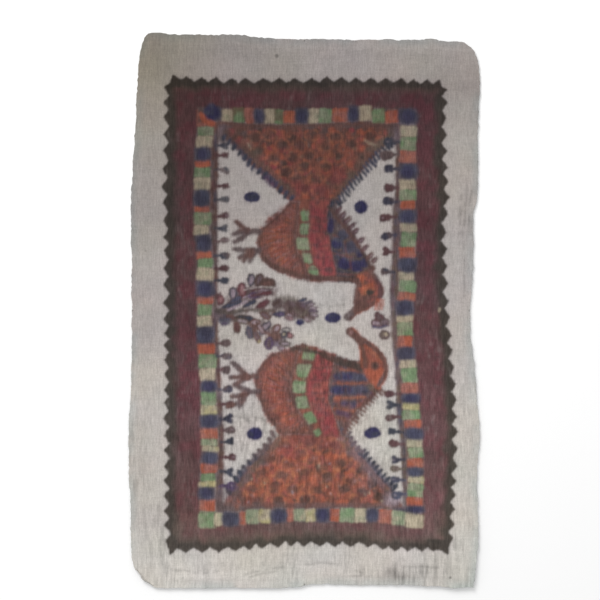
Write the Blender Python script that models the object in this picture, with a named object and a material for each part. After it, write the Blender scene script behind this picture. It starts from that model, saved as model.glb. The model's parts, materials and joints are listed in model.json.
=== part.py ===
"""A hand-painted cotton panel: a tree of life between two birds, inside three painted borders.

The panel lies on its back, painted side up, with its long side along Y. The cloth's four edges are turned
under. The paint is laid on in separate coats, and each coat is a thin plate just above the cloth.
Everything is in metres, with the origin under the middle of the panel.
"""

import bmesh
import bpy
import numpy as np

MM = 0.001

# The panel
PANEL_WIDTH = 176 * MM
PANEL_LENGTH = 278 * MM
CLOTH_THICKNESS = 0.6 * MM
HEM_THICKNESS = 0.5 * MM
HEM_WIDTH = 5 * MM
PAINT_THICKNESS = 0.2 * MM
GAP = 0.3 * MM

# Heights: turned hems, then the cloth, then the paint
HEM_BOTTOM = 0.0
CLOTH_BOTTOM = HEM_BOTTOM + HEM_THICKNESS + GAP
PAINT_BOTTOM = CLOTH_BOTTOM + CLOTH_THICKNESS + GAP

# How far each edge of the cloth wanders in from the full size, as (place along the edge, inset) in mm.
# The corners were folded in before the edges, which leaves two of them cut off and one round.
LEFT_EDGE = [(131, 6), (120.5, 5), (89.5, 3), (61.5, 1.5), (49.5, 1), (30.5, 1.5), (-11, 1.5), (-47, 1),
             (-55, 0), (-81, 0), (-96.5, 1), (-114, 1), (-124, 1.5), (-131, 4.5)]
BOTTOM_EDGE = [(-75.5, 1), (-66, 0), (-29.5, 0), (-6.5, 0.5), (7, 2), (23, 1.5), (55, 1.5), (71, 0.5),
               (84, 0.5)]
RIGHT_EDGE = [(-137, 3), (-125, 1.5), (-112, 0.5), (-83.5, 1.5), (-73, 0.5), (-63, 0), (-49, 1),
              (-27.5, 2.5), (-14, 4.5), (4, 4.5), (14.5, 3.5), (30.5, 3), (48, 3), (60.5, 1), (76, 1),
              (99.5, 0.5), (108.5, 0), (121, 0), (126, 1), (132, 4)]
TOP_EDGE = [(79, 4), (72.5, 4), (62, 2.5), (58, 3), (23, 3), (-13.5, 2.5), (-25.5, 1.5), (-34.5, 0.5),
            (-59, 0.5), (-68, 0), (-78, 0)]

# Middle lines of the teeth round the painted area, as (place along the side, coordinate) in mm
TEETH_LEFT = [(118, -67), (100, -68.2), (-100, -68.2), (-120, -67)]
TEETH_RIGHT = [(113, 70), (80, 69.5), (56, 71), (40, 69.5), (13, 70), (-3, 71.2), (-20, 72.8),
               (-37, 74.2), (-70, 75), (-86, 74.2), (-107, 73.5), (-120, 72.5)]
TEETH_TOP = [(-67, 115.5), (-20, 115), (30, 115), (62, 114), (70, 113)]
TEETH_BOTTOM = [(-67, -120), (-34, -118.5), (-6, -116.3), (16, -116.3), (32, -116.8), (46, -118.8),
                (65, -119), (72.5, -121)]
TOOTH_DEPTH = 2.6 * MM

# Where the tips of the hand-drawn teeth come along each side, in mm
TIPS_LEFT = [-115.5, -107, -100, -92.5, -84.5, -77.5, -69.5, -62, -54, -46, -39.5, -31.5, -24.5, -17, -11,
             -4, 4, 13, 21.5, 30, 37, 45, 54, 62, 71, 80, 88.5, 96.5, 104, 111.5]
TIPS_RIGHT = [-113.5, -106.5, -99, -91.5, -85, -77.5, -68.5, -60.5, -53, -44.5, -36.5, -28, -19.5, -12, -3,
              5, 13.5, 22.5, 31, 39.5, 48.5, 57, 64.5, 72, 79.5, 88, 96, 104, 110.5]
TIPS_TOP = [-65.5, -58.5, -51, -44, -36, -29, -20.5, -12.5, -4.5, 4, 11.5, 18.5, 26, 33, 40.5, 48.5, 54.5,
            61.5, 67.5]
TIPS_BOTTOM = [-67, -59, -51, -42.5, -34, -27, -21, -13, -6.5, 0, 8, 15.5, 23, 32, 39, 45.5, 52, 58.5, 64.5,
               70.5]
EDGING_WIDTH = 4.5 * MM

# Middle lines of the four rows of blocks, in the same form
BLOCKS_LEFT = [(97, -49), (73, -50.7), (38, -50.7), (30, -49.7), (-10, -49.4), (-24, -48.4), (-45, -47.5),
               (-65, -47), (-90, -48.3), (-108, -48.3)]
BLOCKS_RIGHT = [(97, 52.2), (55, 51.9), (15, 51.5), (-3, 49.9), (-18, 51), (-32, 52.5), (-52, 53.6),
                (-62, 54.9), (-70, 55.6), (-108, 55.6)]
BLOCKS_TOP = [(-54, 97.8), (-34, 97.8), (-17, 96.8), (3, 97.1), (20, 97.8), (30, 98.4), (43, 97.3),
              (57, 96.8)]
BLOCKS_BOTTOM = [(-52, -104.5), (-36, -104), (-27, -103.2), (-19, -102), (9, -102), (28, -102),
                 (40, -102.5), (47, -103.3), (56, -105)]
LONG_BLOCK_HALF = 4.1 * MM
SHORT_BLOCK_HALF = 3.5 * MM

# Edges of the bare field inside the blocks
FIELD_LEFT = [(92, -42.5), (80, -43.2), (30, -43.4), (-8, -43.2), (-35, -41.8), (-65, -40.4), (-97, -40.9)]
FIELD_RIGHT = [(92, 46.4), (60, 46), (45, 44.3), (30, 44.4), (5, 43.4), (-10, 44.3), (-25, 45.8),
               (-50, 46.9), (-62, 48.4), (-90, 49.7), (-97, 49.9)]
FIELD_TOP = [(-43, 91.6), (47, 91.6)]
FIELD_BOTTOM = [(-41, -97.2), (50, -97.2)]

# Buds that grow into the field from its left and right sides: a stem with a round head
BUD_SPAN_LEFT = (81, -86)
BUDS_LEFT = 26
BUD_SPAN_RIGHT = (78, -86)
BUDS_RIGHT = 23
BUD_STEM = 1.8 * MM
BUD_STEM_HALF = 0.5 * MM
BUD_RADIUS = 1.7 * MM
# Buds are left out where the tree, the flowers and the birds' heads reach the side
BARE_LEFT = (12, -8)
BARE_RIGHT = (22, -37)

# Fan tails, from the outer left corner round the narrow end, in mm
UPPER_TAIL = [(-40, 91.2), (-37.5, 86), (-32, 80.5), (-27, 74.5), (-21, 69.5), (-16, 63.5), (-11, 59),
              (-4.5, 55.8), (14, 55.8), (16.5, 58), (19.5, 60.5), (23, 64.5), (28, 69.5), (32, 74.5),
              (36, 79), (39.5, 82.5), (43, 87), (44.5, 91.2)]
LOWER_TAIL = [(-39.5, -96.8), (-36, -89), (-33, -84), (-29, -79.5), (-25, -75), (-21, -71), (-17, -67),
              (-12.5, -63), (-10.5, -62), (18.5, -62.8), (22, -63.4), (24, -67), (27, -70.5), (29, -73.5),
              (32, -77.5), (36, -81.5), (40, -85.5), (44, -90.5), (48, -96.8)]

# Each bird is split by three seams that run from its tail to its back: breast, green, red and wing
UPPER_BREAST = [(-6.5, 55.2), (-10.5, 52), (-14, 49), (-18, 45.5), (-21, 41.5), (-22.5, 38), (-23, 34),
                (-22.5, 29.5), (-20.5, 25.5), (-17, 22), (-13, 19.5), (-8.5, 18), (-4, 16.5), (1, 15.2)]
UPPER_SEAM_GREEN = [(-1.8, 55.2), (-2.5, 48), (-3, 41.5), (-4, 35.5), (-3, 30.5), (-1, 25.5), (1, 21.5),
                    (3.5, 15)]
UPPER_SEAM_RED = [(3.5, 55.2), (3, 48), (3, 41.5), (2.5, 35.5), (3.5, 30.5), (4.5, 25.5), (7, 21.5),
                  (9, 14.8)]
UPPER_SEAM_WING = [(13.5, 55.2), (12, 48), (12, 41.5), (13.5, 35.5), (14, 30.5), (15, 26.5), (16, 21.5),
                   (17, 14.8)]
UPPER_WING = [(15, 55.2), (17, 49), (20.5, 44.5), (24, 39.5), (26.5, 35.5), (28, 31.5), (30, 27.5),
              (32, 23.5), (33.2, 21.2), (26, 20.4), (25.4, 14.8)]
UPPER_HEAD = [(26.8, 18.6), (33, 19.4), (37, 15.8), (39.5, 11.5), (40, 9), (38, 5.5), (36, 3.5), (32, 0.5),
              (29, -0.5), (26, -2), (23, -4.6), (21.5, -3.8), (24, -1.5), (25, 3), (25.5, 7), (26.5, 12)]

LOWER_BREAST = [(-10.8, -61.6), (-14, -58.5), (-17, -54.5), (-19.5, -50.5), (-21.5, -45.5),
                (-23.5, -40.5), (-24.5, -35.5), (-23.5, -31), (-21, -26.5), (-18, -23), (-14, -20.5),
                (-8, -19.2), (-3.5, -16.8)]
LOWER_SEAM_GREEN = [(5.5, -61.8), (3, -57), (-0.5, -52.5), (-3.5, -47.5), (-5.5, -42.5), (-6.5, -37.5),
                    (-6, -32.5), (-4.5, -27.5), (-2.5, -22.5), (-0.8, -16.8)]
LOWER_SEAM_RED = [(10, -62), (8, -56.5), (6, -52.5), (4, -48.5), (2.5, -44.5), (1.5, -39.5), (2, -34.5),
                  (4, -29.5), (5.5, -24.5), (6.2, -18.3)]
LOWER_SEAM_WING = [(17.5, -62.4), (17, -58.5), (15.5, -53.5), (14, -48.5), (12.5, -43.5), (12.5, -38.5),
                   (13, -33.5), (14.5, -28.5), (16.5, -21.5)]
LOWER_WING = [(21, -62.6), (21.5, -59.5), (24, -54.5), (27, -50.5), (30, -47), (34, -44.5), (36.5, -39.8),
              (33.1, -37.4), (29.9, -33), (27.9, -29.2), (26.6, -25), (23, -24.2)]
LOWER_HEAD = [(31.5, -14.5), (35, -16.5), (38, -19.5), (41, -23.5), (42, -28), (42, -32.5),
              (39.5, -36.5), (37, -38.8), (34, -36.4), (31, -32.3), (29, -28.3), (28, -23.5),
              (27.5, -18.5), (26.5, -14.5), (24, -12), (22.5, -9.5), (24, -8), (26.5, -9.5),
              (28.5, -12.5)]

# Feet: the ankle, then the tips of the leg and of the three toes
FEET = {
    "upper_bird_foot_a": [(-29, 39.5), (-22.9, 39.2), (-34, 43.5), (-35.2, 38.3), (-34, 34)],
    "upper_bird_foot_b": [(-28.5, 30), (-23, 30.3), (-34, 30.6), (-32.5, 26.5), (-28.5, 24.8)],
    "lower_bird_foot_a": [(-29.5, -32.8), (-24.6, -32.2), (-34.8, -26.8), (-35, -32.8), (-32.5, -35.2)],
    "lower_bird_foot_b": [(-29.5, -40.2), (-24.4, -40.2), (-34.6, -38), (-34.6, -45), (-31.5, -48)],
}
FOOT_HALF = 0.7 * MM

# The tree: a trunk that grows from the field's left side and two side branches, each a leafy spine
TRUNK = [(-42.6, -1), (-30, 0.5), (-15, -0.5), (0, -1), (7, -1)]
UPPER_BRANCH = [(-34, 8.3), (-29, 10), (-24, 13), (-18, 16.5)]
LOWER_BRANCH = [(-31, -8.2), (-25, -9.5), (-17, -13), (-9, -15)]
LEAF_LENGTH = 2.6 * MM
LEAF_HALF = 1.1 * MM
STEM_HALF = 0.8 * MM

# Loose marks in the field: (centre, half width, half height) in mm
DOTS = {
    "dot_upper_left": (-26, 56.8, 3.6, 2.4),
    "dot_upper_right": (28.5, 52, 3.2, 3),
    "dot_middle": (14.5, -3.3, 4, 2.3),
    "dot_lower_left": (-24.5, -61, 3.6, 3),
    "dot_lower_right": (34, -60.7, 4, 2.6),
    "flower_bud_large": (38, -5.7, 4.4, 3.4),
    "flower_bud_small": (40.6, -12.3, 3, 2.4),
}

# Colour (linear), roughness, metallic
PAINTS = {
    "bare_cloth": ((0.52, 0.48, 0.43, 1), 0.95, 0),
    "black_green": ((0.03, 0.03, 0.025, 1), 0.85, 0),
    "maroon": ((0.09, 0.035, 0.04, 1), 0.85, 0),
    "orange": ((0.38, 0.09, 0.035, 1), 0.85, 0),
    "green": ((0.2, 0.32, 0.18, 1), 0.85, 0),
    "crimson": ((0.32, 0.05, 0.05, 1), 0.85, 0),
    "navy": ((0.03, 0.03, 0.1, 1), 0.8, 0),
    "mauve": ((0.12, 0.07, 0.08, 1), 0.85, 0),
    "brown": ((0.12, 0.06, 0.04, 1), 0.85, 0),
    "mixed_blocks": ((0.32, 0.27, 0.15, 1), 0.85, 0),
}


def remove_old_objects():
    for item in list(bpy.data.objects):
        bpy.data.objects.remove(item, do_unlink=True)


def paint(name):
    """The material for one colour of paint, made once."""
    found = bpy.data.materials.get(name)
    if found:
        return found
    colour, roughness, metallic = PAINTS[name]
    material = bpy.data.materials.new(name)
    material.use_nodes = True
    shader = material.node_tree.nodes["Principled BSDF"]
    shader.inputs["Base Color"].default_value = colour
    shader.inputs["Roughness"].default_value = roughness
    shader.inputs["Metallic"].default_value = metallic
    material.diffuse_color = colour
    return material


def in_metres(points):
    return [(x * MM, y * MM) for x, y in points]


def smooth(points, steps, closed=False):
    """A Catmull-Rom curve through the points, with so many steps from each point to the next."""
    p = np.array(points, float)
    count = len(p)
    spans = count if closed else count - 1
    curve = []
    for i in range(spans):
        near = [i - 1, i, i + 1, i + 2]
        a, b, c, d = (p[j % count] if closed else p[min(max(j, 0), count - 1)] for j in near)
        for t in np.arange(steps) / steps:
            curve.append(0.5 * (2 * b + (c - a) * t + (2 * a - 5 * b + 4 * c - d) * t**2
                                + (3 * b - 3 * c + d - a) * t**3))
    if not closed:
        curve.append(p[-1])
    return [tuple(point) for point in curve]


def side(points):
    """A side of a border as a function that gives its coordinate at a place along it, in metres."""
    table = np.array(sorted(smooth(in_metres(sorted(points)), 6)))
    return lambda place: float(np.interp(place, table[:, 0], table[:, 1]))


def corner(long_side, short_side):
    """Where a left or right side meets a top or bottom side."""
    x = y = 0.0
    for _ in range(6):
        x = long_side(y)
        y = short_side(x)
    return x, y


def border_loop(sides, counts, offset=0.0):
    """A closed loop along four sides, anticlockwise from the lower left corner.

    sides are left, right, top and bottom functions, counts the number of steps on a long and a short side,
    and offset moves the loop outwards.
    """
    left, right, top, bottom = sides
    grown = (lambda y: left(y) - offset, lambda y: right(y) + offset,
             lambda x: top(x) + offset, lambda x: bottom(x) - offset)
    corners = [corner(grown[0], grown[3]), corner(grown[1], grown[3]),
               corner(grown[1], grown[2]), corner(grown[0], grown[2])]
    along_x, along_y = 0, 1
    plan = [(grown[3], along_x, counts[1]), (grown[1], along_y, counts[0]),
            (grown[2], along_x, counts[1]), (grown[0], along_y, counts[0])]
    loop = []
    for k, (line, axis, steps) in enumerate(plan):
        start, end = corners[k], corners[(k + 1) % 4]
        for i in range(steps):
            place = start[axis] + (end[axis] - start[axis]) * i / steps
            loop.append((place, line(place)) if axis == along_x else (line(place), place))
    return loop


def plate(name, loops, bottom, thickness, material):
    """A flat plate with the first loop as its outline and any other loops as holes."""
    shape = bmesh.new()
    edges = []
    for loop in loops:
        ring = [shape.verts.new((x, y, bottom)) for x, y in loop]
        edges += [shape.edges.new(pair) for pair in zip(ring, ring[1:] + ring[:1])]
    bmesh.ops.triangle_fill(shape, use_beauty=True, use_dissolve=False, edges=edges)
    raised = bmesh.ops.extrude_face_region(shape, geom=shape.faces[:])
    tops = [item for item in raised["geom"] if isinstance(item, bmesh.types.BMVert)]
    bmesh.ops.translate(shape, verts=tops, vec=(0, 0, thickness))
    bmesh.ops.recalc_face_normals(shape, faces=shape.faces[:])
    mesh = bpy.data.meshes.new(name)
    shape.to_mesh(mesh)
    shape.free()
    mesh.materials.append(paint(material))
    item = bpy.data.objects.new(name, mesh)
    bpy.context.collection.objects.link(item)
    return item


def coat(name, loops, material):
    """One coat of paint on the cloth."""
    return plate(name, loops, PAINT_BOTTOM, PAINT_THICKNESS, material)


def cloth_edges():
    """The four edges of the cloth as lists of points, from the top of the left edge round to the top."""
    half_w, half_l = PANEL_WIDTH / 2, PANEL_LENGTH / 2
    left = [(-half_w + inset * MM, y * MM) for y, inset in LEFT_EDGE]
    bottom = [(x * MM, -half_l + inset * MM) for x, inset in BOTTOM_EDGE]
    right = [(half_w - inset * MM, y * MM) for y, inset in RIGHT_EDGE]
    top = [(x * MM, half_l - inset * MM) for x, inset in TOP_EDGE]
    return left, bottom, right, top


def fit_to_size(loop):
    """The loop scaled by a hair so that its curves just reach the full size, centred on the origin."""
    p = np.array(loop)
    low, high = p.min(0), p.max(0)
    p = (p - (low + high) / 2) * (PANEL_WIDTH, PANEL_LENGTH) / (high - low)
    return [tuple(point) for point in p]


def hem(name, edge, inward, span):
    """A turned-under edge: a strip below the cloth that follows one edge, with its ends cut slanting."""
    runs = 1 if inward[0] else 0
    line = sorted(smooth(edge, 4), key=lambda point: point[runs])
    places = np.array([point[runs] for point in line])
    values = np.array([point[1 - runs] for point in line])
    sign = inward[0] or inward[1]

    def strip_edge(depth, shorter):
        stops = np.linspace(span[0] * MM + shorter, span[1] * MM - shorter, 24)
        across = np.interp(stops, places, values) + sign * depth
        return [(a, s) if runs else (s, a) for s, a in zip(stops, across)]

    outer = strip_edge(GAP, 0.0)
    inner = strip_edge(HEM_WIDTH, HEM_WIDTH)
    plate(name, [outer + inner[::-1]], HEM_BOTTOM, HEM_THICKNESS, "bare_cloth")


def build_cloth():
    left, bottom, right, top = cloth_edges()
    outline = fit_to_size(smooth(left + bottom + right + top, 3, closed=True))
    plate("ground_cloth", [outline], CLOTH_BOTTOM, CLOTH_THICKNESS, "bare_cloth")
    hem("hem_left", left, (1, 0), (-121, 121))
    hem("hem_right", right, (-1, 0), (-125, 122))
    hem("hem_top", top, (0, -1), (-74, 76))
    hem("hem_bottom", bottom, (0, 1), (-72, 80))


def zigzag_loop(sides, tips):
    """The toothed outline, anticlockwise: tips beyond the four sides, valleys halfway between the tips."""
    left, right, top, bottom = sides
    tips_left, tips_right, tips_top, tips_bottom = ([place * MM for place in row] for row in tips)
    half = TOOTH_DEPTH / 2
    plan = [(tips_bottom, lambda x, out: (x, bottom(x) - out), (right, bottom)),
            (tips_right, lambda y, out: (right(y) + out, y), (right, top)),
            (tips_top[::-1], lambda x, out: (x, top(x) + out), (left, top)),
            (tips_left[::-1], lambda y, out: (left(y) - out, y), (left, bottom))]
    loop = []
    for places, point, (long_side, short_side) in plan:
        for place, following in zip(places, places[1:]):
            loop += [point(place, half), point((place + following) / 2, -half)]
        loop.append(point(places[-1], half))
        x, y = corner(long_side, short_side)
        loop.append((x - np.sign(x) * half, y - np.sign(y) * half))
    return loop


def build_borders():
    teeth = [side(p) for p in (TEETH_LEFT, TEETH_RIGHT, TEETH_TOP, TEETH_BOTTOM)]
    blocks = [side(p) for p in (BLOCKS_LEFT, BLOCKS_RIGHT, BLOCKS_TOP, BLOCKS_BOTTOM)]
    plain = (30, 20)

    zigzag = zigzag_loop(teeth, (TIPS_LEFT, TIPS_RIGHT, TIPS_TOP, TIPS_BOTTOM))
    edging_inside = border_loop(teeth, plain, -EDGING_WIDTH)
    coat("zigzag_edging", [zigzag, edging_inside], "black_green")

    maroon_outside = border_loop(teeth, plain, -EDGING_WIDTH - GAP)
    coat("maroon_border", [maroon_outside, blocks_loop(blocks, 1)], "maroon")
    build_block_rows(blocks)

    field = [side(p) for p in (FIELD_LEFT, FIELD_RIGHT, FIELD_TOP, FIELD_BOTTOM)]
    coat("inner_line", [blocks_loop(blocks, -1), field_loop_with_buds(field)], "mauve")


def block_sides(blocks, way):
    """The outer (way 1) or inner (way -1) edges of the four rows of blocks, a gap away from them."""
    left, right, top, bottom = blocks
    long_way, short_way = way * (LONG_BLOCK_HALF + GAP), way * (SHORT_BLOCK_HALF + GAP)
    return (lambda y: left(y) - long_way, lambda y: right(y) + long_way,
            lambda x: top(x) + short_way, lambda x: bottom(x) - short_way)


def blocks_loop(blocks, way):
    return border_loop(block_sides(blocks, way), (30, 20))


def row_edge(row, middle, way):
    """Heights a gap beyond one edge of the top or bottom row, across the width of a left or right row."""
    places = np.linspace(middle - 1.3 * LONG_BLOCK_HALF, middle + 1.3 * LONG_BLOCK_HALF, 9)
    return [row(x) + way * (SHORT_BLOCK_HALF + GAP) for x in places]


def build_block_rows(blocks):
    """Left and right rows run between the top and bottom rows, which take the corners."""
    left, right, top, bottom = blocks
    for name, line in (("block_border_left", left), ("block_border_right", right)):
        low = max(row_edge(bottom, line(-100 * MM), 1))
        high = min(row_edge(top, line(97 * MM), -1))
        stops = np.linspace(low, high, 31)
        loop = [(line(y) + LONG_BLOCK_HALF, y) for y in stops]
        loop += [(line(y) - LONG_BLOCK_HALF, y) for y in stops[::-1]]
        coat(name, [loop], "mixed_blocks")
    for name, line in (("block_border_top", top), ("block_border_bottom", bottom)):
        height = line(0)
        stops = np.linspace(left(height) - LONG_BLOCK_HALF, right(height) + LONG_BLOCK_HALF, 21)
        loop = [(x, line(x) - SHORT_BLOCK_HALF) for x in stops]
        loop += [(x, line(x) + SHORT_BLOCK_HALF) for x in stops[::-1]]
        coat(name, [loop], "mixed_blocks")


def bud_heights(span, count, bare):
    """Evenly spaced heights of the buds on one side, without those in the bare stretch."""
    heights = np.linspace(span[0], span[1], count)
    return [y * MM for y in heights if not bare[1] < y < bare[0]]


def bud(x, y, way, upwards):
    """The outline of one bud on its stem, which grows from x towards way."""
    neck = x + way * BUD_STEM
    turns = np.radians(np.linspace(-150, 150, 7))
    head = [(neck + way * BUD_RADIUS * (0.85 + np.cos(t)), y + BUD_RADIUS * np.sin(t)) for t in turns]
    shape = [(x, y - BUD_STEM_HALF)] + head + [(x, y + BUD_STEM_HALF)]
    return shape if upwards else shape[::-1]


def field_loop_with_buds(field):
    """The edge of the bare field, anticlockwise, going round each bud on the way."""
    left, right, top, bottom = field
    corners = [corner(left, bottom), corner(right, bottom), corner(right, top), corner(left, top)]
    loop = [corners[0], corners[1]]
    for y in sorted(bud_heights(BUD_SPAN_RIGHT, BUDS_RIGHT, BARE_RIGHT)):
        loop += bud(right(y), y, -1, True)
    loop += [corners[2], corners[3]]
    for y in sorted(bud_heights(BUD_SPAN_LEFT, BUDS_LEFT, BARE_LEFT), reverse=True):
        loop += bud(left(y), y, 1, False)
    return loop


def shifted(points, by):
    return [(x + by, y) for x, y in points]


def build_bird(name, breast, seams, wing, head):
    """A bird's four colour fields between its seams, and its head."""
    green, red, navy = (smooth(in_metres(s), 2) for s in seams)
    half_gap = GAP / 2
    breast_curve = smooth(in_metres(breast), 2)
    coat(name + "_breast", [breast_curve + shifted(green, -half_gap)[::-1]], "orange")
    coat(name + "_green_band", [shifted(green, half_gap) + shifted(red, -half_gap)[::-1]], "green")
    coat(name + "_red_band", [shifted(red, half_gap) + shifted(navy, -half_gap)[::-1]], "crimson")
    coat(name + "_wing", [shifted(navy, half_gap) + in_metres(wing)[::-1]], "navy")
    coat(name + "_head", [smooth(in_metres(head), 2, closed=True)], "orange")


def star(centre, tips, half):
    """Arms of one width from a centre to each tip, as one outline."""
    c = np.array(centre)
    arms = sorted((np.array(tip) for tip in tips), key=lambda t: np.arctan2(*(t - c)[::-1]))
    loop = []
    for arm, following in zip(arms, arms[1:] + arms[:1]):
        along = (arm - c) / np.linalg.norm(arm - c)
        across = np.array([-along[1], along[0]]) * half
        loop += [arm - across, arm + across]
        after = (following - c) / np.linalg.norm(following - c)
        angle = np.arctan2(*(along)[::-1])
        turn = (np.arctan2(*(after)[::-1]) - angle) % (2 * np.pi)
        crotch = angle + turn / 2
        reach = half / np.sin(min(turn / 2, np.pi / 2))
        loop.append(c + reach * np.array([np.cos(crotch), np.sin(crotch)]))
    return [tuple(point) for point in loop]


def leafy(spine):
    """The outline of a stem with rounded leaves along both its sides and one at its tip."""
    line = np.array(smooth(in_metres(spine), 8))
    steps = np.r_[0, np.cumsum(np.linalg.norm(np.diff(line, axis=0), axis=1))]
    pitch = 2 * LEAF_HALF + 2 * GAP
    leaves = int((steps[-1] - 2 * STEM_HALF) / pitch)

    def at(distance):
        return np.array([np.interp(distance, steps, line[:, 0]), np.interp(distance, steps, line[:, 1])])

    def one_side(way):
        points = []
        for i in range(leaves):
            base = STEM_HALF + (i + 0.5) * pitch
            along = at(base + pitch / 2) - at(base - pitch / 2)
            along /= np.linalg.norm(along)
            out = way * np.array([-along[1], along[0]])
            for reach, slide in ((0, -0.9), (0.75, -0.9), (1, 0), (0.75, 0.9), (0, 0.9)):
                points.append(at(base) + out * (STEM_HALF + reach * LEAF_LENGTH)
                              + along * slide * LEAF_HALF)
        return points

    return [tuple(p) for p in one_side(-1) + [line[-1]] + one_side(1)[::-1] + [line[0]]]


def build_figures():
    coat("upper_tail", [in_metres(UPPER_TAIL)], "orange")
    coat("lower_tail", [in_metres(LOWER_TAIL)], "orange")
    upper_seams = (UPPER_SEAM_GREEN, UPPER_SEAM_RED, UPPER_SEAM_WING)
    lower_seams = (LOWER_SEAM_GREEN, LOWER_SEAM_RED, LOWER_SEAM_WING)
    build_bird("upper_bird", UPPER_BREAST, upper_seams, UPPER_WING, UPPER_HEAD)
    build_bird("lower_bird", LOWER_BREAST, lower_seams, LOWER_WING, LOWER_HEAD)
    for name, (ankle, *tips) in FEET.items():
        coat(name, [star(in_metres([ankle])[0], in_metres(tips), FOOT_HALF)], "brown")
    coat("tree_trunk", [leafy(TRUNK)], "brown")
    coat("tree_upper_branch", [leafy(UPPER_BRANCH)], "brown")
    coat("tree_lower_branch", [leafy(LOWER_BRANCH)], "brown")
    for name, (x, y, half_w, half_h) in DOTS.items():
        turns = np.linspace(0, 2 * np.pi, 20, endpoint=False)
        loop = [((x + half_w * np.cos(t)) * MM, (y + half_h * np.sin(t)) * MM) for t in turns]
        coat(name, [loop], "navy" if name.startswith("dot") else "mauve")


remove_old_objects()
build_cloth()
build_borders()
build_figures()
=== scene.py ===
"""The looks of a hand-painted cotton panel: a tree of life between two birds, inside three borders.

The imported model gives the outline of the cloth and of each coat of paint. One fine grid of points lies over the
cloth. The script paints on that grid in the order that a hand would, borders first, and then makes the cloth
and one thin skin for each coat of paint from it. Plans are in millimetres until a mesh is made.
"""

import json
import bpy
import numpy as np
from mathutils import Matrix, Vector


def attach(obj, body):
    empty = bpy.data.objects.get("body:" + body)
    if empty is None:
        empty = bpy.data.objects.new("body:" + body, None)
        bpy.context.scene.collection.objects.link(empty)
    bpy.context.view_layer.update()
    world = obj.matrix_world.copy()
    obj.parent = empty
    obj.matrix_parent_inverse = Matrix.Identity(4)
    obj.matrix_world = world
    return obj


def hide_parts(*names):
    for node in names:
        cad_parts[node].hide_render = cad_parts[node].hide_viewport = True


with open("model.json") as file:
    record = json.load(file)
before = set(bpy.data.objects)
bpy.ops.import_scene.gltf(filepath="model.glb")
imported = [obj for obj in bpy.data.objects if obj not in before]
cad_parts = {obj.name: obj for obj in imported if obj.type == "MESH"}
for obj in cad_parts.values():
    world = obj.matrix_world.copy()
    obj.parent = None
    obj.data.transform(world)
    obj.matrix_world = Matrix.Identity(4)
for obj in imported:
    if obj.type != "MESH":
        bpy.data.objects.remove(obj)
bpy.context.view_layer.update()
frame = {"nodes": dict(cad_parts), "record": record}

MM = 0.001
ROOT = "root"

# Camera: straight above the panel, which lies on its back
VIEW_WIDTH = 0.300
VIEW_CENTRE = (-0.002, 0.0055)
LENS = 85
SENSOR = 36

# Studio
WORLD_STRENGTH = 0.75
KEY_PLACE = (-0.35, 0.6, 0.7)
KEY_ENERGY = 6.0

# Cloth, in mm
SPACING = 0.4
CLOTH_THICKNESS = 0.45
TURNED_UNDER = 5.0
FOLD_RADIUS = 0.5
FLOOR_GAP = 0.2

# Paint: its gap to the cloth and the height of a full coat in mm, the least cover that shows, and the shares
# lost to threads that the brush missed and to uneven density
PAINT_GAP = 0.01
PAINT_LIFT = 0.04
SHOWN_COVER = 0.04
STREAKS = 0.12
UNEVEN = 0.19

# Colours before the painted shade and soil are laid over them, red, green and blue from 0 to 255
CLOTH = (189, 184, 178)
COLOURS = {
    "black_green": (73, 67, 62), "soot": (62, 53, 52), "maroon": (94, 68, 70), "wine": (100, 63, 68),
    "plum_grey": (98, 84, 84), "orange": (162, 92, 72), "amber": (166, 108, 82), "green": (114, 137, 103),
    "pale_green": (137, 144, 121), "cream": (172, 161, 140), "yellow": (170, 161, 120), "apricot": (154, 104, 94),
    "navy": (56, 54, 88), "ink": (69, 68, 81), "slate": (78, 80, 96), "teal": (66, 68, 78), "mauve": (112, 98, 104),
    "grey_brown": (104, 94, 84), "rust": (134, 85, 73), "brick": (146, 84, 78), "brown": (104, 78, 72),
    "dark_brown": (82, 66, 61), "crimson": (144, 73, 76), "purple": (86, 72, 96), "lilac": (160, 146, 154),
    "rose": (150, 118, 118), "olive": (108, 99, 78), "cloth": (184, 178, 172),
}


def linear(colour):
    """A colour from 0 to 255, as the screen shows it, as linear light."""
    c = np.asarray(colour, float) / 255
    return np.where(c <= 0.04045, c / 12.92, ((c + 0.055) / 1.055) ** 2.4)


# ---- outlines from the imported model


def top_loops(node):
    """The outlines of a CAD node's upper face, in mm. The outer one runs anticlockwise, holes clockwise."""
    mesh = frame["nodes"][node].data
    points = np.array([vertex.co for vertex in mesh.vertices]) / MM
    top = points[:, 2].max()
    numbers = {}
    ids = [numbers.setdefault((round(x, 3), round(y, 3)), len(numbers)) for x, y, _ in points]
    places = np.array(list(numbers))
    follows = {}
    for face in mesh.polygons:
        if min(points[i, 2] for i in face.vertices) < top - 0.05:
            continue
        ring = [ids[i] for i in face.vertices]
        for a, b in zip(ring, ring[1:] + ring[:1]):
            if follows.get(b) and a in follows[b]:
                follows[b].remove(a)
            else:
                follows.setdefault(a, set()).add(b)
    follows = {a: next(iter(b)) for a, b in follows.items() if b}
    loops = []
    while follows:
        at = next(iter(follows))
        ring = []
        while at in follows:
            ring.append(at)
            at = follows.pop(at)
        loops.append(places[ring])
    return sorted(loops, key=lambda loop: -np.ptp(loop[:, 1]))


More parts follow.
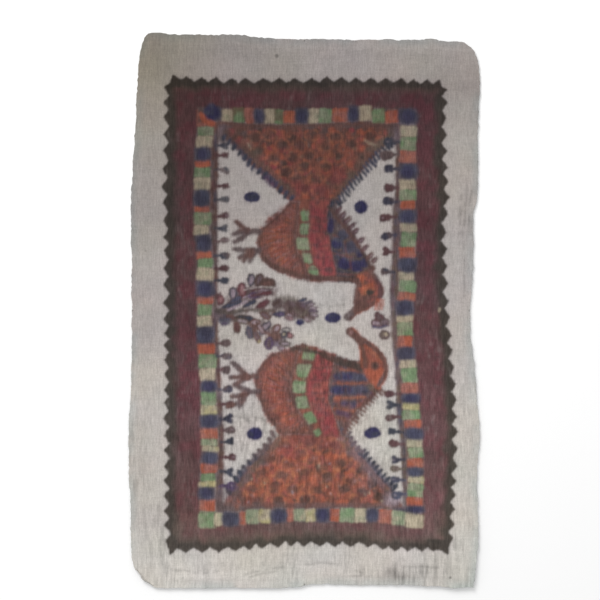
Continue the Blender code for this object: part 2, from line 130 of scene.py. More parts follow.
def four_chains(loop):
    """A four-sided loop as its bottom, right, top and left chains, which run towards +X or +Y."""
    after = np.roll(loop, -1, axis=0)
    if np.sum(loop[:, 0] * after[:, 1] - loop[:, 1] * after[:, 0]) < 0:
        loop = loop[::-1]
    starts = [int(np.argmax(loop @ np.array(way))) for way in ((-1, -1), (1, -1), (1, 1), (-1, 1))]
    chains = []
    for k, start in enumerate(starts):
        stop = starts[(k + 1) % 4]
        count = (stop - start) % len(loop)
        chain = loop[(start + np.arange(count + 1)) % len(loop)]
        chains.append(chain if k < 2 else chain[::-1])
    return chains


def four_lines(loop):
    """A four-sided loop as left(y), right(y), top(x) and bottom(x)."""
    bottom, right, top, left = four_chains(loop)

    def line(chain, runs):
        chain = chain[np.argsort(chain[:, runs])]
        return lambda place: np.interp(place, chain[:, runs], chain[:, 1 - runs])

    return line(left, 1), line(right, 1), line(top, 0), line(bottom, 0)


def beyond(x, y, lines):
    """How far each point lies outside a four-sided loop, negative inside it."""
    left, right, top, bottom = lines
    return np.max([left(y) - x, x - right(y), y - top(x), bottom(x) - y], axis=0)


# ---- noise and distances


def noise(x, y, pitch_x, pitch_y, seed):
    """Smooth random values from -1 to 1 that change over the given pitches."""
    size = 257
    table = np.random.RandomState(seed).uniform(-1, 1, (size, size))
    u, v = x / pitch_x + 4096.5, y / pitch_y + 4096.5
    i, j = np.floor(u).astype(int), np.floor(v).astype(int)
    s, t = u - i, v - j
    s, t = s * s * (3 - 2 * s), t * t * (3 - 2 * t)
    i0, j0, i1, j1 = i % size, j % size, (i + 1) % size, (j + 1) % size
    low = table[i0, j0] * (1 - s) + table[i1, j0] * s
    high = table[i0, j1] * (1 - s) + table[i1, j1] * s
    return low * (1 - t) + high * t


def cloudy(x, y, pitch, seed):
    """Noise of three sizes, each half as large and half as strong as the last."""
    return sum(0.5**k * noise(x, y, pitch * 0.5**k, pitch * 0.5**k, seed + k) for k in range(3)) / 1.75


def ramp(value, low, high):
    """0 below low, 1 above high, and a smooth step between them."""
    t = np.clip((value - low) / (high - low), 0, 1)
    return t * t * (3 - 2 * t)


def distance_to_line(x, y, points, widths, closed=False):
    """Distance to a line whose half width changes from point to point, negative inside it."""
    p = np.asarray(points, float)
    w = np.broadcast_to(np.asarray(widths, float), len(p))
    if closed:
        p, w = np.vstack([p, p[:1]]), np.r_[w, w[:1]]
    nearest = np.full(x.shape, np.inf)
    for (ax, ay), (bx, by), wa, wb in zip(p, p[1:], w, w[1:]):
        ux, uy = bx - ax, by - ay
        t = np.clip(((x - ax) * ux + (y - ay) * uy) / (ux * ux + uy * uy + 1e-12), 0, 1)
        nearest = np.minimum(nearest, np.hypot(x - ax - t * ux, y - ay - t * uy) - wa - t * (wb - wa))
    return nearest


def distance_to_area(x, y, loop):
    """Distance to a closed outline, negative inside it."""
    inside = np.zeros(x.shape, bool)
    for (ax, ay), (bx, by) in zip(loop, np.roll(loop, -1, axis=0)):
        if ay != by:
            crosses = (ay > y) != (by > y)
            inside ^= crosses & (x < ax + (bx - ax) * (y - ay) / (by - ay))
    return np.where(inside, -1, 1) * distance_to_line(x, y, loop, 0, closed=True)


def smooth(points, steps=4):
    """A Catmull-Rom curve through the points."""
    p = rows(points)
    p = np.vstack([p[:1], p, p[-1:]])
    t = (np.arange(steps) / steps)[:, None]
    curve = [0.5 * (2 * b + (c - a) * t + (2 * a - 5 * b + 4 * c - d) * t**2 + (3 * b - 3 * c + d - a) * t**3)
             for a, b, c, d in zip(p, p[1:], p[2:], p[3:])]
    return np.vstack(curve + [p[-1:]])


# ---- the grid over the cloth


def spread(chain, shares):
    """The points of a chain at the given shares of its length."""
    walked = np.r_[0, np.cumsum(np.hypot(*np.diff(chain, axis=0).T))]
    return np.stack([np.interp(shares * walked[-1], walked, chain[:, k]) for k in (0, 1)], axis=-1)


def cloth_grid():
    """Rows of points over the whole cloth, which follow its wandering edges."""
    bottom, right, top, left = four_chains(top_loops("ground_cloth")[0])
    columns = int(np.ptp(bottom[:, 0]) / SPACING)
    rows = int(np.ptp(left[:, 1]) / SPACING)
    u, v = np.linspace(0, 1, columns), np.linspace(0, 1, rows)
    b, t, l, r = spread(bottom, u)[None], spread(top, u)[None], spread(left, v)[:, None], spread(right, v)[:, None]
    u, v = u[None, :, None], v[:, None, None]
    corners = (1 - v) * ((1 - u) * b[:, :1] + u * b[:, -1:]) + v * ((1 - u) * t[:, :1] + u * t[:, -1:])
    return (1 - v) * b + v * t + (1 - u) * l + u * r - corners


def ragged(grid):
    """The grid with a slightly uneven rim, as cut and handled cloth has."""
    inward = np.minimum(np.arange(ROWS), np.arange(ROWS)[::-1])[:, None]
    inward = np.minimum(inward, np.minimum(np.arange(COLUMNS), np.arange(COLUMNS)[::-1])[None])
    reach = np.exp(-inward * SPACING / 2.0)
    x, y = grid[..., 0], grid[..., 1]
    drawn_in = np.stack([-0.5 * np.sign(x), np.where(y < 0, 0.8, -0.1)], axis=-1)
    uneven = np.stack([0.3 * noise(x, y, 3.5, 3.5, s) + 0.25 * noise(x, y, 1.4, 1.4, s + 1) for s in (71, 73)],
                      axis=-1)
    return grid + reach[..., None] * (uneven + drawn_in)


GRID = cloth_grid()
ROWS, COLUMNS = GRID.shape[:2]
GRID = ragged(GRID)
X, Y = GRID[..., 0].ravel(), GRID[..., 1].ravel()
ROW_LOW, ROW_HIGH = GRID[..., 1].min(1), GRID[..., 1].max(1)
COLUMN_LOW, COLUMN_HIGH = GRID[..., 0].min(0), GRID[..., 0].max(0)


def near(low, high, margin=2.0):
    """The numbers of the grid's points in and round a box."""
    rows = np.flatnonzero((ROW_HIGH > low[1] - margin) & (ROW_LOW < high[1] + margin))
    columns = np.flatnonzero((COLUMN_HIGH > low[0] - margin) & (COLUMN_LOW < high[0] + margin))
    return (rows[:, None] * COLUMNS + columns[None]).ravel()


# ---- painting

# The unsteady hand, the ragged edge along the threads, the threads that the paint missed, and its density
HAND_X = X + 0.3 * noise(X, Y, 7, 7, 11) + 0.16 * noise(X, Y, 2.2, 2.2, 12)
HAND_Y = Y + 0.3 * noise(X, Y, 7, 7, 13) + 0.16 * noise(X, Y, 2.2, 2.2, 14)
RAGGED = 0.26 * noise(X, Y, 0.9, 1.9, 15) + 0.14 * noise(X, Y, 0.6, 0.6, 16)
MISSED = ramp(noise(X, Y, 0.8, 3.0, 17) + 0.5 * noise(X, Y, 5, 9, 18), 0.4, 1.3)
DENSITY = 0.9 * cloudy(X, Y, 6, 19) + 0.5 * noise(X, Y, 1.2, 2.6, 23)
MOTTLE = cloudy(X, Y, 5, 27)

painted = np.tile(linear(CLOTH), (len(X), 1))
cover = np.zeros(len(X))
owner = np.full(len(X), -1)
COATS = []
brush = {"coat": None}
hand = np.random.RandomState(5)


def rows(table):
    """Rows of numbers from an array, or from text such as "3,4 5.5,6"."""
    return np.array([row.split(",") for row in table.split()] if isinstance(table, str) else table, float)


def lines(table):
    """Several lines of points, from text with bars between them."""
    return [rows(line) for line in table.split("|")]


def pick(names, rng=hand):
    """One of several names."""
    names = names.split()
    return names[rng.randint(len(names))]


def take(node):
    """Starts on a coat of paint, and gives the outline of its CAD node."""
    if node not in COATS:
        COATS.append(node)
    brush["coat"] = COATS.index(node)
    return top_loops(node)[0]


def lay(where, distance, paint, strength=1.0, soft=0.5):
    """Paints the points where distance is below zero. In "one/other" the other colour shows in patches."""
    amount = strength * ramp(-distance - RAGGED[where], -soft, soft)
    amount = np.clip(amount * (1 - STREAKS * MISSED[where]), 0, 1)
    first, _, second = paint.partition("/")
    colour = linear(COLOURS[first])[None]
    if second:
        share = ramp(MOTTLE[where], -0.25, 0.35)[:, None]
        colour = colour * (1 - share) + linear(COLOURS[second])[None] * share
    colour = colour * (1 + UNEVEN * DENSITY[where])[:, None]
    painted[where] += (colour - painted[where]) * amount[:, None]
    owner[where[amount > 0.2]] = brush["coat"]
    cover[where] = np.maximum(cover[where], amount)


def area(loop, cuts):
    """The points near an outline, and how far each lies outside it.

    Each cut draws the edge in: its place, its reach each way and its depth in mm."""
    loop = rows(loop)
    where = near(loop.min(0), loop.max(0))
    cut = sum(depth * np.exp(-((X[where] - x) / wide) ** 2 - ((Y[where] - y) / high) ** 2)
              for x, y, wide, high, depth in rows(cuts))
    return where, distance_to_area(HAND_X[where], HAND_Y[where], loop) + cut


def fill(loop, paint, strength=1.0, soft=0.5, grow=0.0, cuts=()):
    """An area inside an outline, grown all round and cut back near some places."""
    where, distance = area(loop, cuts)
    lay(where, distance - grow, paint, strength, soft)


def outline(loop, inset, half, paint, strength, soft, cuts):
    """A line that follows an area's edge, on its inside."""
    where, distance = area(loop, cuts)
    lay(where, abs(distance + inset) - half, paint, strength, soft)


def stroke(points, half, paint, strength=1.0, soft=0.5, closed=False):
    """One stroke of the brush through the points, with one half width or one for each point."""
    points = rows(points)
    where = near(points.min(0), points.max(0), 2.0 + np.max(half))
    lay(where, distance_to_line(HAND_X[where], HAND_Y[where], points, half, closed), paint, strength, soft)


def strokes(table, *how):
    """Several strokes alike."""
    for points in lines(table):
        stroke(points, *how)


def turned(x, y, reach, turn):
    """The points near (x, y), and their places as seen from it with the axes turned by so many degrees."""
    where = near((x - reach, y - reach), (x + reach, y + reach))
    c, s = np.cos(np.radians(turn)), np.sin(np.radians(turn))
    dx, dy = HAND_X[where] - x, HAND_Y[where] - y
    return where, dx * c + dy * s, dy * c - dx * s


def blob(x, y, half_w, half_h, paint, strength=1.0, soft=0.5, turn=0):
    """An oval."""
    where, u, v = turned(x, y, max(half_w, half_h), turn)
    lay(where, (np.hypot(u / half_w, v / half_h) - 1) * min(half_w, half_h), paint, strength, soft)


def blobs(table, *how):
    """Several ovals alike, each as its middle, half width and half height."""
    for oval in rows(table):
        blob(*oval, *how)


def block(x, y, half_w, half_h, paint, strength, soft=0.5, turn=0, corner=0.9):
    """A rectangle with rounded corners."""
    where, u, v = turned(x, y, np.hypot(half_w, half_h), turn)
    u, v = abs(u) - half_w + corner, abs(v) - half_h + corner
    distance = np.hypot(np.maximum(u, 0), np.maximum(v, 0)) + np.minimum(np.maximum(u, v), 0) - corner
    lay(where, distance, paint, strength, soft)


def leaves(table):
    """Leaves, each as its base, its round tip, its half width, its colour and maybe :colour of its centre."""
    for entry in table.split():
        *numbers, paint = entry.split(",")
        numbers = np.array(numbers, float)
        base, tip, half = numbers[:2], numbers[2:4], numbers[4]
        paint, _, centre = paint.partition(":")
        points = base + np.array([0, 0.3, 0.6, 0.85])[:, None] * (tip - base)
        widths = half * np.array([0.4, 0.9, 1.15, 0.95])
        stroke(points, widths, "dark_brown", 0.75, 0.4)
        stroke(points, widths - 0.4, paint)
        if centre:
            stroke(points[1:], widths[1:] * 0.42, centre, 0.8)


def thicket(path, count, reach, paints):
    """Small dark leaves on all sides of a branch."""
    for place in spread(smooth(path, 6), hand.uniform(0, 1, count)):
        angle = hand.uniform(0, 2 * np.pi)
        tip = place + reach * hand.uniform(0.5, 1) * np.array([np.cos(angle), np.sin(angle)])
        stroke([place, tip], [0.7, hand.uniform(0.9, 1.4)], pick(paints), hand.uniform(0.45, 0.8), 0.8)


def bristles(path, count, length, half, paint, strength=1.0, soft=0.5, slant=None, lean=90, root=0.7):
    """Short strokes that stand on a path, at slant degrees, or at lean degrees from the path's own direction."""
    places = spread(smooth(path, 6), np.linspace(0, 1, count))
    for place, (dx, dy) in zip(places, np.gradient(places, axis=0)):
        angle = np.degrees(np.arctan2(dy, dx)) + lean if slant is None else slant
        angle = np.radians(angle + hand.uniform(-9, 9))
        way = np.array([np.cos(angle), np.sin(angle)])
        reach, thick = length * hand.uniform(0.8, 1.2), half * hand.uniform(0.8, 1.2)
        points = [place - root * way, place + 0.6 * reach * way, place + reach * way]
        stroke(points, [thick * 0.6, thick, thick * 0.8], paint, strength, soft)


def scattered(loop, tries, count, inset):
    """Places scattered inside an outline, at most count of them."""
    spots = hand.uniform(loop.min(0), loop.max(0), (tries, 2))
    return spots[distance_to_area(spots[:, 0], spots[:, 1], loop) < -inset][:count]


def speckle(loop, count, size, paints, strength, soft=0.6):
    """Small soft dabs of several colours, scattered inside an outline."""
    for x, y in scattered(loop, count * 3, count, 1.0):
        half_w, half_h = size * hand.uniform(0.5, 1.3), size * hand.uniform(0.4, 1.0)
        paint, turn = pick(paints), hand.uniform(-90, 90)
        blob(x, y, half_w, half_h, paint, strength * hand.uniform(0.5, 1.2), soft, turn)


def blurred(field, reach):
    """A field over the grid, averaged over so many cells each way."""
    grid = field.reshape(ROWS, COLUMNS, -1)
    for axis in (0, 1):
        pad = [(0, 0)] * 3
        pad[axis] = (reach + 1, reach)
        total = np.cumsum(np.pad(grid, pad, mode="edge"), axis=axis)
        size = grid.shape[axis]
        ends, starts = np.arange(2 * reach + 1, 2 * reach + 1 + size), np.arange(size)
        grid = (np.take(total, ends, axis) - np.take(total, starts, axis)) / (2 * reach + 1)
    return grid.reshape(field.shape)


def let_paint_bleed():
    """Wet paint softens at its edges, and a little of it creeps into the bare cloth round it."""
    painted[:] = blurred(painted, 1) * 0.75 + painted * 0.25
    weight = blurred(blurred(cover, 4), 3)
    tint = blurred(blurred(painted * cover[:, None], 4), 3) / (weight[:, None] + 1e-6)
    lilac = tint * 0.4 + linear((170, 140, 165)) * 0.6
    amount = (0.22 * np.clip(weight, 0, 0.8) * (1 - cover))[:, None]
    painted[:] += (lilac - painted) * amount


# ---- borders

FIELD_LEFT = "-97,-40.9 -65,-40.4 -35,-41.8 -8,-43.2 30,-43.4 80,-43.2 92,-42.5"
FIELD_RIGHT = "-97,49.9 -90,49.7 -62,48.4 -50,46.9 -25,45.8 -10,44.3 5,43.4 30,44.4 45,44.3 60,46 92,46.4"
FIELD_TOP = 91.6
FIELD_BOTTOM = -97.2

# Rows of blocks: each block's kind, by the letters of BLOCK_PAINTS, and the place in mm where it starts
BLOCK_PAINTS = {"N": "ink/slate", "O": "orange/apricot", "G": "green/pale_green", "C": "cream", "Y": "yellow/cream",
                "P": "pale_green/cream", "E": "green/olive"}
BLOCKS = {
    "block_border_left": """O100.5 G92 C87 N81.5 O75.5 G71.8 C66.5 N60.5 O52.5 G49.3 C43 N38 O30 G26.3 C21.5
        N14.8 O7.5 G3.5 C-2.5 N-8 O-16 G-21.5 C-28.5 N-34.8 G-40 Y-47 N-52 O-58.3 G-64 Y-67.5 N-70.5 O-76 G-81
        Y-85 N-88 O-93.8 G-100 -108.5""",
    "block_border_right": """C92.5 G87 O80 N73.5 C66 G60.5 O55 N50.3 C43.8 G39.5 O32 N26.3 C19.8 G15.5 O9.5 N5
        C-2 G-5.5 O-12.5 N-18.3 C-24 G-28.5 O-36 N-41.3 Y-45.8 G-49.5 O-54.5 N-58.8 C-63.8 G-68 O-73.5 N-78.5
        Y-82.5 G-86 O-93 N-97.5 -101.5""",
    "block_border_top": """N-49.3 C-41.3 E-35.5 O-29.5 N-25 C-19.8 E-14.5 O-10.3 N-4 C2 G7.5 O14 N22.3 C27.5
        E33.8 O40.3 N47.5 56.5""",
    "block_border_bottom": """G-52.8 C-44.8 N-40.5 O-32.3 P-28.8 Y-22.5 N-16.5 O-8.8 P-5.3 Y0.8 N6 O13 G18
        C25.5 N31 O36.8 P43.8 C50.8 59.5""",
}


def side_line(points):
    """The place across of one side of the field, for any height."""
    curve = smooth(points, 6)
    curve = curve[np.argsort(curve[:, 0])]
    return lambda height: np.interp(height, curve[:, 0], curve[:, 1])


field_left, field_right = side_line(FIELD_LEFT), side_line(FIELD_RIGHT)


def paint_edging_and_maroon():
    zigzag = top_loops("zigzag_edging")[0]
    outside, inside = (four_lines(loop) for loop in top_loops("maroon_border"))
    out, hole = beyond(HAND_X, HAND_Y, outside), -beyond(HAND_X, HAND_Y, inside)
    where = np.flatnonzero((out < 9) & (hole < 3))
    x, y = X[where], Y[where]
    teeth = distance_to_area(HAND_X[where], HAND_Y[where], zigzag)
    edge = np.max([out[where] - 3.5, teeth + 0.3, hole[where] - 0.8], axis=0)
    take("maroon_border")
    worn = ramp(noise(x, y, 10, 16, 31) + 0.4 * noise(x, y, 2, 7, 33), 0.1, 1)
    rubbed = 0.3 + 0.7 * ramp(noise(x, y, 1.5, 14, 34), -0.3, 0.9)
    faded = ramp(x, 20, 62) * ramp(-y, 0, 90) + 0.6 * ramp(-y, 90, 110)
    dull = 0.3 * ramp(-y, 96, 106) + 0.2 * ramp(-y, 40, 90) * ramp(-x, 50, 56)
    lay(where, edge, "maroon/wine")
    lay(where, edge, "plum_grey", 0.35 * worn)
    lay(where, edge, "rose", 0.24 * rubbed * faded)
    lay(where, edge, "grey_brown", dull * (0.6 + 0.4 * rubbed))

    where = np.flatnonzero(abs(out) < 9)
    x, y = X[where], Y[where]
    depth = out[where] + 1.3 * noise(x, y, 4, 4, 32) + 0.3 * ramp(-y, 100, 112)
    swell = 0.45 + 0.9 * np.exp(-((y - 62) / 10) ** 2) * (x < 0)
    swell += 0.5 * np.exp(-((x + 62) / 8) ** 2) * (y > 80)
    swell -= 0.5 * np.exp(-((x + 25) / 22) ** 2) * (y > 80) + 0.3 * (y < -108)
    teeth = distance_to_area(HAND_X[where], HAND_Y[where], zigzag) - swell
    take("zigzag_edging")
    lay(where, teeth, "black_green", ramp(depth, -1.8, 3.0), 0.3)
    ends = 0.25 * ramp(y, 104, 112) + 0.3 * ramp(-y, 100, 112)
    lay(where, teeth, "grey_brown", ends * ramp(depth, -4, 0) * ramp(-depth, -3, -1), 0.3)
    for corner in lines("""-69.3,-114 -67.6,-120.6 -66.2,-120.6 -63,-118 -63,-114 | 61,-114 62,-117.6 68,-119.4
        71.3,-121.6 72.4,-121 72.4,-114 | -67.8,112 -65.9,117.8 -64.6,117.8 -61.5,115.6 -61.5,112"""):
        fill(corner, "black_green", 1, 0.3)
    take("maroon_border")
    blob(67.5, 0.5, 0.5, 1.2, "cream", 0.8, 0.3)


def paint_blocks(node):
    loop = take(node)
    left, right, top, bottom = four_lines(loop)
    upright = np.ptp(loop[:, 1]) > np.ptp(loop[:, 0])
    where = near(loop.min(0), loop.max(0))
    ground = beyond(HAND_X[where], HAND_Y[where], (left, right, top, bottom))
    lay(where, ground - 0.2, "plum_grey/brown", 1, 0.9)
    entries = BLOCKS[node].split()
    ends = [float(entry.lstrip("NOGCYPE")) for entry in entries]
    spots = []
    for entry, start, stop in zip(entries, ends, ends[1:]):
        place, half = (start + stop) / 2, abs(start - stop) / 2
        low, high = (left(place), right(place)) if upright else (bottom(place), top(place))
        middle, across = (low + high) / 2 + hand.uniform(-0.4, 0.4), (high - low) / 2 + hand.uniform(-0.5, 0.3)
        spot = (middle, place, across, half) if upright else (place, middle, half, across)
        spots.append((entry[0], *spot, hand.uniform(-5, 5)))
    for kind, x, y, half_w, half_h, turn in sorted(spots, key=lambda spot: spot[0] == "N"):
        if kind == "N":
            block(x, y, half_w + 0.6, half_h + 0.6, "slate", 0.6, 1.0, turn, corner=2.0)
            blob(x + hand.uniform(-0.4, 0.4), y, half_w * 1.05, half_h * 1.1, BLOCK_PAINTS[kind], 0.95, 0.9, turn)
            blob(x, y, half_w * 0.7, half_h * 0.8, "navy", hand.uniform(0.1, 0.6), 1.0, turn)
            continue
        block(x, y, half_w, half_h, BLOCK_PAINTS[kind], 0.97, 0.55, turn, corner=1.0)
        dabs = "rust amber brick" if kind == "O" else "green cream grey_brown pale_green"
        for _ in range(3):
            blob(x + hand.uniform(-0.7, 0.7) * half_w, y + hand.uniform(-0.7, 0.7) * half_h, 1.3, 0.9, pick(dabs),
                 0.3, 0.8, hand.uniform(0, 180))


def paint_corner_blocks():
    """The blocks that turn the corners."""
    take("block_border_left")
    stroke("-51.5,98 -49,95.5 -46,93.2", [1.2, 2.2, 1.6], "orange", 1, 0.7)
    take("block_border_top")
    blob(-46, 99.2, 3.6, 4.2, "navy/slate", 1, 0.9, 10)
    take("block_border_bottom")
    block(54.5, -103.6, 4.4, 2.6, "cream", 0.9, turn=-16)
    take("block_border_right")
    stroke("46,-98.7 50,-99.4 56,-101.2", 0.7, "ink/slate", 0.8, 0.9)


def paint_inner_line():
    out_lines = four_lines(take("inner_line"))
    where = np.flatnonzero((X > -60) & (X < 66) & (Y > -106) & (Y < 100))
    x, y = HAND_X[where], HAND_Y[where]
    hole = -np.max([field_left(y) - x, x - field_right(y), y - FIELD_TOP, FIELD_BOTTOM - y], axis=0)
    line = np.maximum(beyond(x, y, out_lines), hole) - 0.5
    lay(where, line, "plum_grey/brown", 1, 0.9)
    lay(where, line, "rust", 0.3 * ramp(Y[where], 88, 91), 0.7)
    lay(where, line, "mauve/grey_brown", 0.6 * ramp(X[where], 30, 45) * ramp(-Y[where], -85, -20), 0.7)
    rng = np.random.RandomState(8)
    for side, way in ((field_left, 1), (field_right, -1)):
        for y in np.arange(-96, 91, 3.2):
            x = float(side(y)) - way * rng.uniform(0.6, 2.4)
            paint = pick("mauve brown grey_brown slate maroon", rng)
            blob(x, y + rng.uniform(-1, 1), 0.9, rng.uniform(1, 2.6), paint, 0.55, 0.8)


# ---- buds along the sides of the field

# Each bud's kind, by the letters of BUD_PAINTS, and its height in mm
BUDS_LEFT = """N82.5 M77.5 N70.5 M62.5 N55.5 M47 N41 M34.8 N27.5 M21 N15.3 M-16 N-22.5 M-29.5 N-39 M-46.5
    N-54 M-59.5 N-65.5 M-73 N-80 P-87.5"""
BUDS_RIGHT = """N84.5 D78 N70.8 M61.5 N54.5 M47 N37.8 M29.5 N19.3 M-41.5 N-47 M-53 N-60.5 M-66.5 N-74 B-79
    S-84.5 S-91.5"""
BUD_PAINTS = {"N": "teal", "M": "maroon", "D": "plum_grey", "B": "grey_brown", "P": "purple", "S": "slate"}


def paint_bud(kind, x, y, way):
    """A bud on a short stem that grows from the side of the field towards way."""
    paint = BUD_PAINTS[kind]
    if paint == "teal" and hand.uniform() < 0.5:
        paint = "ink"
    reach, half, tilt = hand.uniform(5.8, 6.8), hand.uniform(1.7, 2.1), hand.uniform(-0.6, 0.6)
    strength = 1.0
    if y > 30:
        half, strength = (2.2, 1.0) if way < 0 else (1.65, 0.85)
    if kind == "D":
        reach, half = 8.5, 2.5
    neck, end = (x + way, y), (x + way * (reach - half), y + tilt)
    middle = ((neck[0] + end[0]) / 2, y + tilt / 2)
    stroke([(x - way * 1.2, y), neck], 0.8, paint, 0.8 * strength)
    shape = hand.uniform()
    if shape < 0.6:
        stroke([neck, middle, end], [0.6, half * 0.85, half], paint + "/plum_grey", strength)
    elif shape < 0.85:
        block(end[0] - way * 0.4, end[1], half * 1.1, half * 0.95, paint, strength, turn=hand.uniform(-15, 15))
        stroke([neck, end], 0.8, paint)
    else:
        for fork in (-1, 1):
            points = [neck, (middle[0], middle[1] + fork * 0.4), (end[0], end[1] + fork * half * 0.55)]
            stroke(points, [0.7, half * 0.6, half * 0.65], paint, strength)
    if hand.uniform() < 0.25:
        blob(end[0] + way * 0.3, end[1], 0.7, 0.45, "lilac", 0.45, 0.4)


def paint_buds():
    take("inner_line")
    for buds, side, way in ((BUDS_LEFT, field_left, 1), (BUDS_RIGHT, field_right, -1)):
        for entry in buds.split():
            y = float(entry[1:])
            paint_bud(entry[0], float(side(y)), y, way)
    for x, y in rows("-42.6,7.5 -41.4,4.6"):
        blob(x, y, 2.3, 1.5, "maroon", 0.95, turn=40)
        blob(x + 0.3, y, 1.2, 0.4, "lilac", 0.7, 0.4, 70)


# ---- tails

UPPER_SPOTS = rows("""-24.5,87 -17,88 -6,86 4,88 15.5,86.8 23,83.5 33,87 -23,80.5 -10.8,83 -2,82.5 11,82.5 16.8,78
    -15,76.5 -5.8,76.8 2.3,77.5 0,71.8 11,71.8 -9,69.5 20.5,70 6,65.5 -3.5,66 14,65 0.5,61.2 8,60""")
LOWER_SPOTS = rows("""-2,-60 9.5,-61 3.5,-65 15.5,-67 -9.5,-67 9.3,-69 -15.8,-73.3 -2,-71 4.3,-74 18,-76 -7.6,-76.5
    28.5,-79.5 -21,-81 -11,-82 0,-81 11.8,-83.3 23,-85 -5.8,-89 6.8,-89 19.9,-88.5 -26,-89 -15,-89 0.5,-94 29,-90.5
    13,-94 24.9,-94.5 38,-93 -13,-95 -23,-95 34,-86""")
UPPER_TAIL_LEFT = rows("-39.5,87.5 -34.5,82.5 -29.5,77.5 -24.5,72.5 -18.5,68 -13,63 -6,57")
UPPER_TAIL_RIGHT = rows("44,86 36.5,78.5 31,72.5 26,66.5 21,61.5 16.5,55")
LOWER_TAIL_LEFT = rows("-15,-62 -18.5,-67.5 -23,-72 -28,-77 -32.5,-83 -37.5,-91")
LOWER_TAIL_RIGHT = rows("22,-62 26,-68.5 31,-73.5 35,-78 39,-82.5 44.5,-89")


def paint_scales(loop, spots, square):
    """Dark scales over a tail, each in a bright ring that joins its neighbours' rings into a net."""
    for x, y in spots:
        half_w, half_h = hand.uniform(2.3, 3.0), hand.uniform(2.0, 2.6)
        for k in range(9):
            angle = np.radians(40 * k + hand.uniform(-12, 12))
            ring = np.array([(x + 3.4 * np.cos(angle + t), y + 2.8 * np.sin(angle + t)) for t in (0, 0.5)])
            paint = pick("amber amber orange rust")
            if distance_to_area(ring[:1, 0], ring[:1, 1], loop)[0] < -0.8:
                stroke(ring, 0.5, paint, hand.uniform(0.2, 0.8), 0.6)
        turn, strength = hand.uniform(-25, 25), hand.uniform(0.55, 0.85)
        if square:
            block(x, y, half_w * 1.05, half_h * 0.85, "dark_brown/brown", strength, 1.2, turn)
        else:
            blob(x, y, half_w * 1.1, half_h * 1.1, "dark_brown/brown", strength, 1.2, turn)
            blob(x, y, 1.4, 1.1, "dark_brown", 0.35, 1.0)


def paint_upper_tail():
    loop = take("upper_tail")
    fill(loop, "rust/brown", 1, 0.8, 0.8)
    fill("-43,93 -43,88 -35,84 -26,88 30,88 38,83 46,87 46,93", "brown/plum_grey", 0.8, 1.5)
    stroke("-7,57 5,56 17,55", 1.8, "rust/brown")
    speckle(loop, 420, 1.8, "rust rust brown brick crimson dark_brown orange", 0.8)
    paint_scales(loop, UPPER_SPOTS, False)
    blobs("35,82,5.5,3 29,74,4,3.5 24,68,2.5,3 -28,81,3,4 -24,78,4,3", "grey_brown", 0.65, 1.6, 45)
    blobs("16.5,68,4.5,4.5 7,60,5.5,3.5 -3,62,4,3", "crimson", 0.45, 1.8)
    blobs("-40.5,88,3.6,5 45,88,3.4,5.5", "plum_grey/mauve", 0.85, 1.2)
    blob(29, 76.5, 0.8, 0.8, "soot", 0.8)
    stroke("-28,84 -26.5,81", 0.4, "cream", 0.4)
    stroke("30.5,85 33,83.5 35.5,82.6", 0.6, "cream", 0.5)
    speckle(loop, 140, 0.8, "amber brown grey_brown brown rust", 0.5)
    stroke(UPPER_TAIL_LEFT + (1.2, 1.2), 1.9, "brown/grey_brown", 0.65, 1.3)
    stroke(UPPER_TAIL_LEFT, 1.3, "slate/brown", 0.75, 0.9)
    stroke(UPPER_TAIL_RIGHT + (-1, 1), 1.9, "grey_brown/brown", 0.65, 1.2)
    bristles(UPPER_TAIL_LEFT, 14, 2.2, 1.1, "teal/slate", slant=248, root=0.4)
    stroke("-19,66.5 -16.5,63.5 -14.5,62.8", 1.5, "purple", 0.7, 0.7)
    bristles(UPPER_TAIL_RIGHT, 20, 3.1, 0.85, "teal/slate", 1, 0.6, slant=-56, root=0.9)


def paint_lower_tail():
    loop = take("lower_tail")
    fill(loop, "rust/brick", 1, 0.8, 0.8)
    stroke("-12,-59.5 3,-60 19.5,-60.4", 1.8, "rust/brick")
    speckle(loop, 480, 1.9, "orange rust amber orange brick brown dark_brown", 0.8)
    paint_scales(loop, LOWER_SPOTS, True)
    block(2, -97, 46, 1.4, "plum_grey/brown", 0.75, 0.8)
    blobs("-37,-92,6,4.5 -31,-83,3,4 -22,-74,4,4 35,-80,3.5,4", "plum_grey/mauve", 0.6, 1.8)
    blob(44, -94, 4.6, 3.6, "mauve/lilac", 0.8, 1.6)
    blob(45, -93, 3, 3, "lilac", 0.7, 1.4)
    speckle(loop, 30, 0.6, "lilac rose cream apricot", 0.6, 0.5)
    blobs("2,-63,9,3.5 12,-66,6,3 -8,-70,5,3", "crimson", 0.4, 1.8)
    blob(4, -64, 12, 3.5, "brown", 0.4, 1.8)
    blob(31, -86, 6, 6, "mauve", 0.3, 3.0)
    speckle(loop, 130, 0.8, "amber orange brown brown rose brick", 0.5)
    for path, way, half, haze in ((LOWER_TAIL_LEFT, 1, 2.2, "plum_grey"), (LOWER_TAIL_RIGHT, -1, 2.8, "mauve")):
        inward = path + (way * 2.8, 0)
        stroke(inward, half, haze + "/grey_brown", 0.7, 1.8)
        speckle(np.vstack([inward, inward[::-1] + (way * 3, 0)]), 26, 0.9, "brown rust grey_brown", 0.5, 0.8)
        stroke(path, 1.2, "slate/plum_grey", 0.7, 0.8)
    bristles(LOWER_TAIL_LEFT, 11, 1.8, 1.15, "teal/plum_grey", slant=118)
    bristles(LOWER_TAIL_RIGHT, 14, 2.1, 1.0, "teal/mauve", slant=50)
    blob(-36, -88, 3, 2.2, "purple", 0.7, 0.9)


# ---- birds

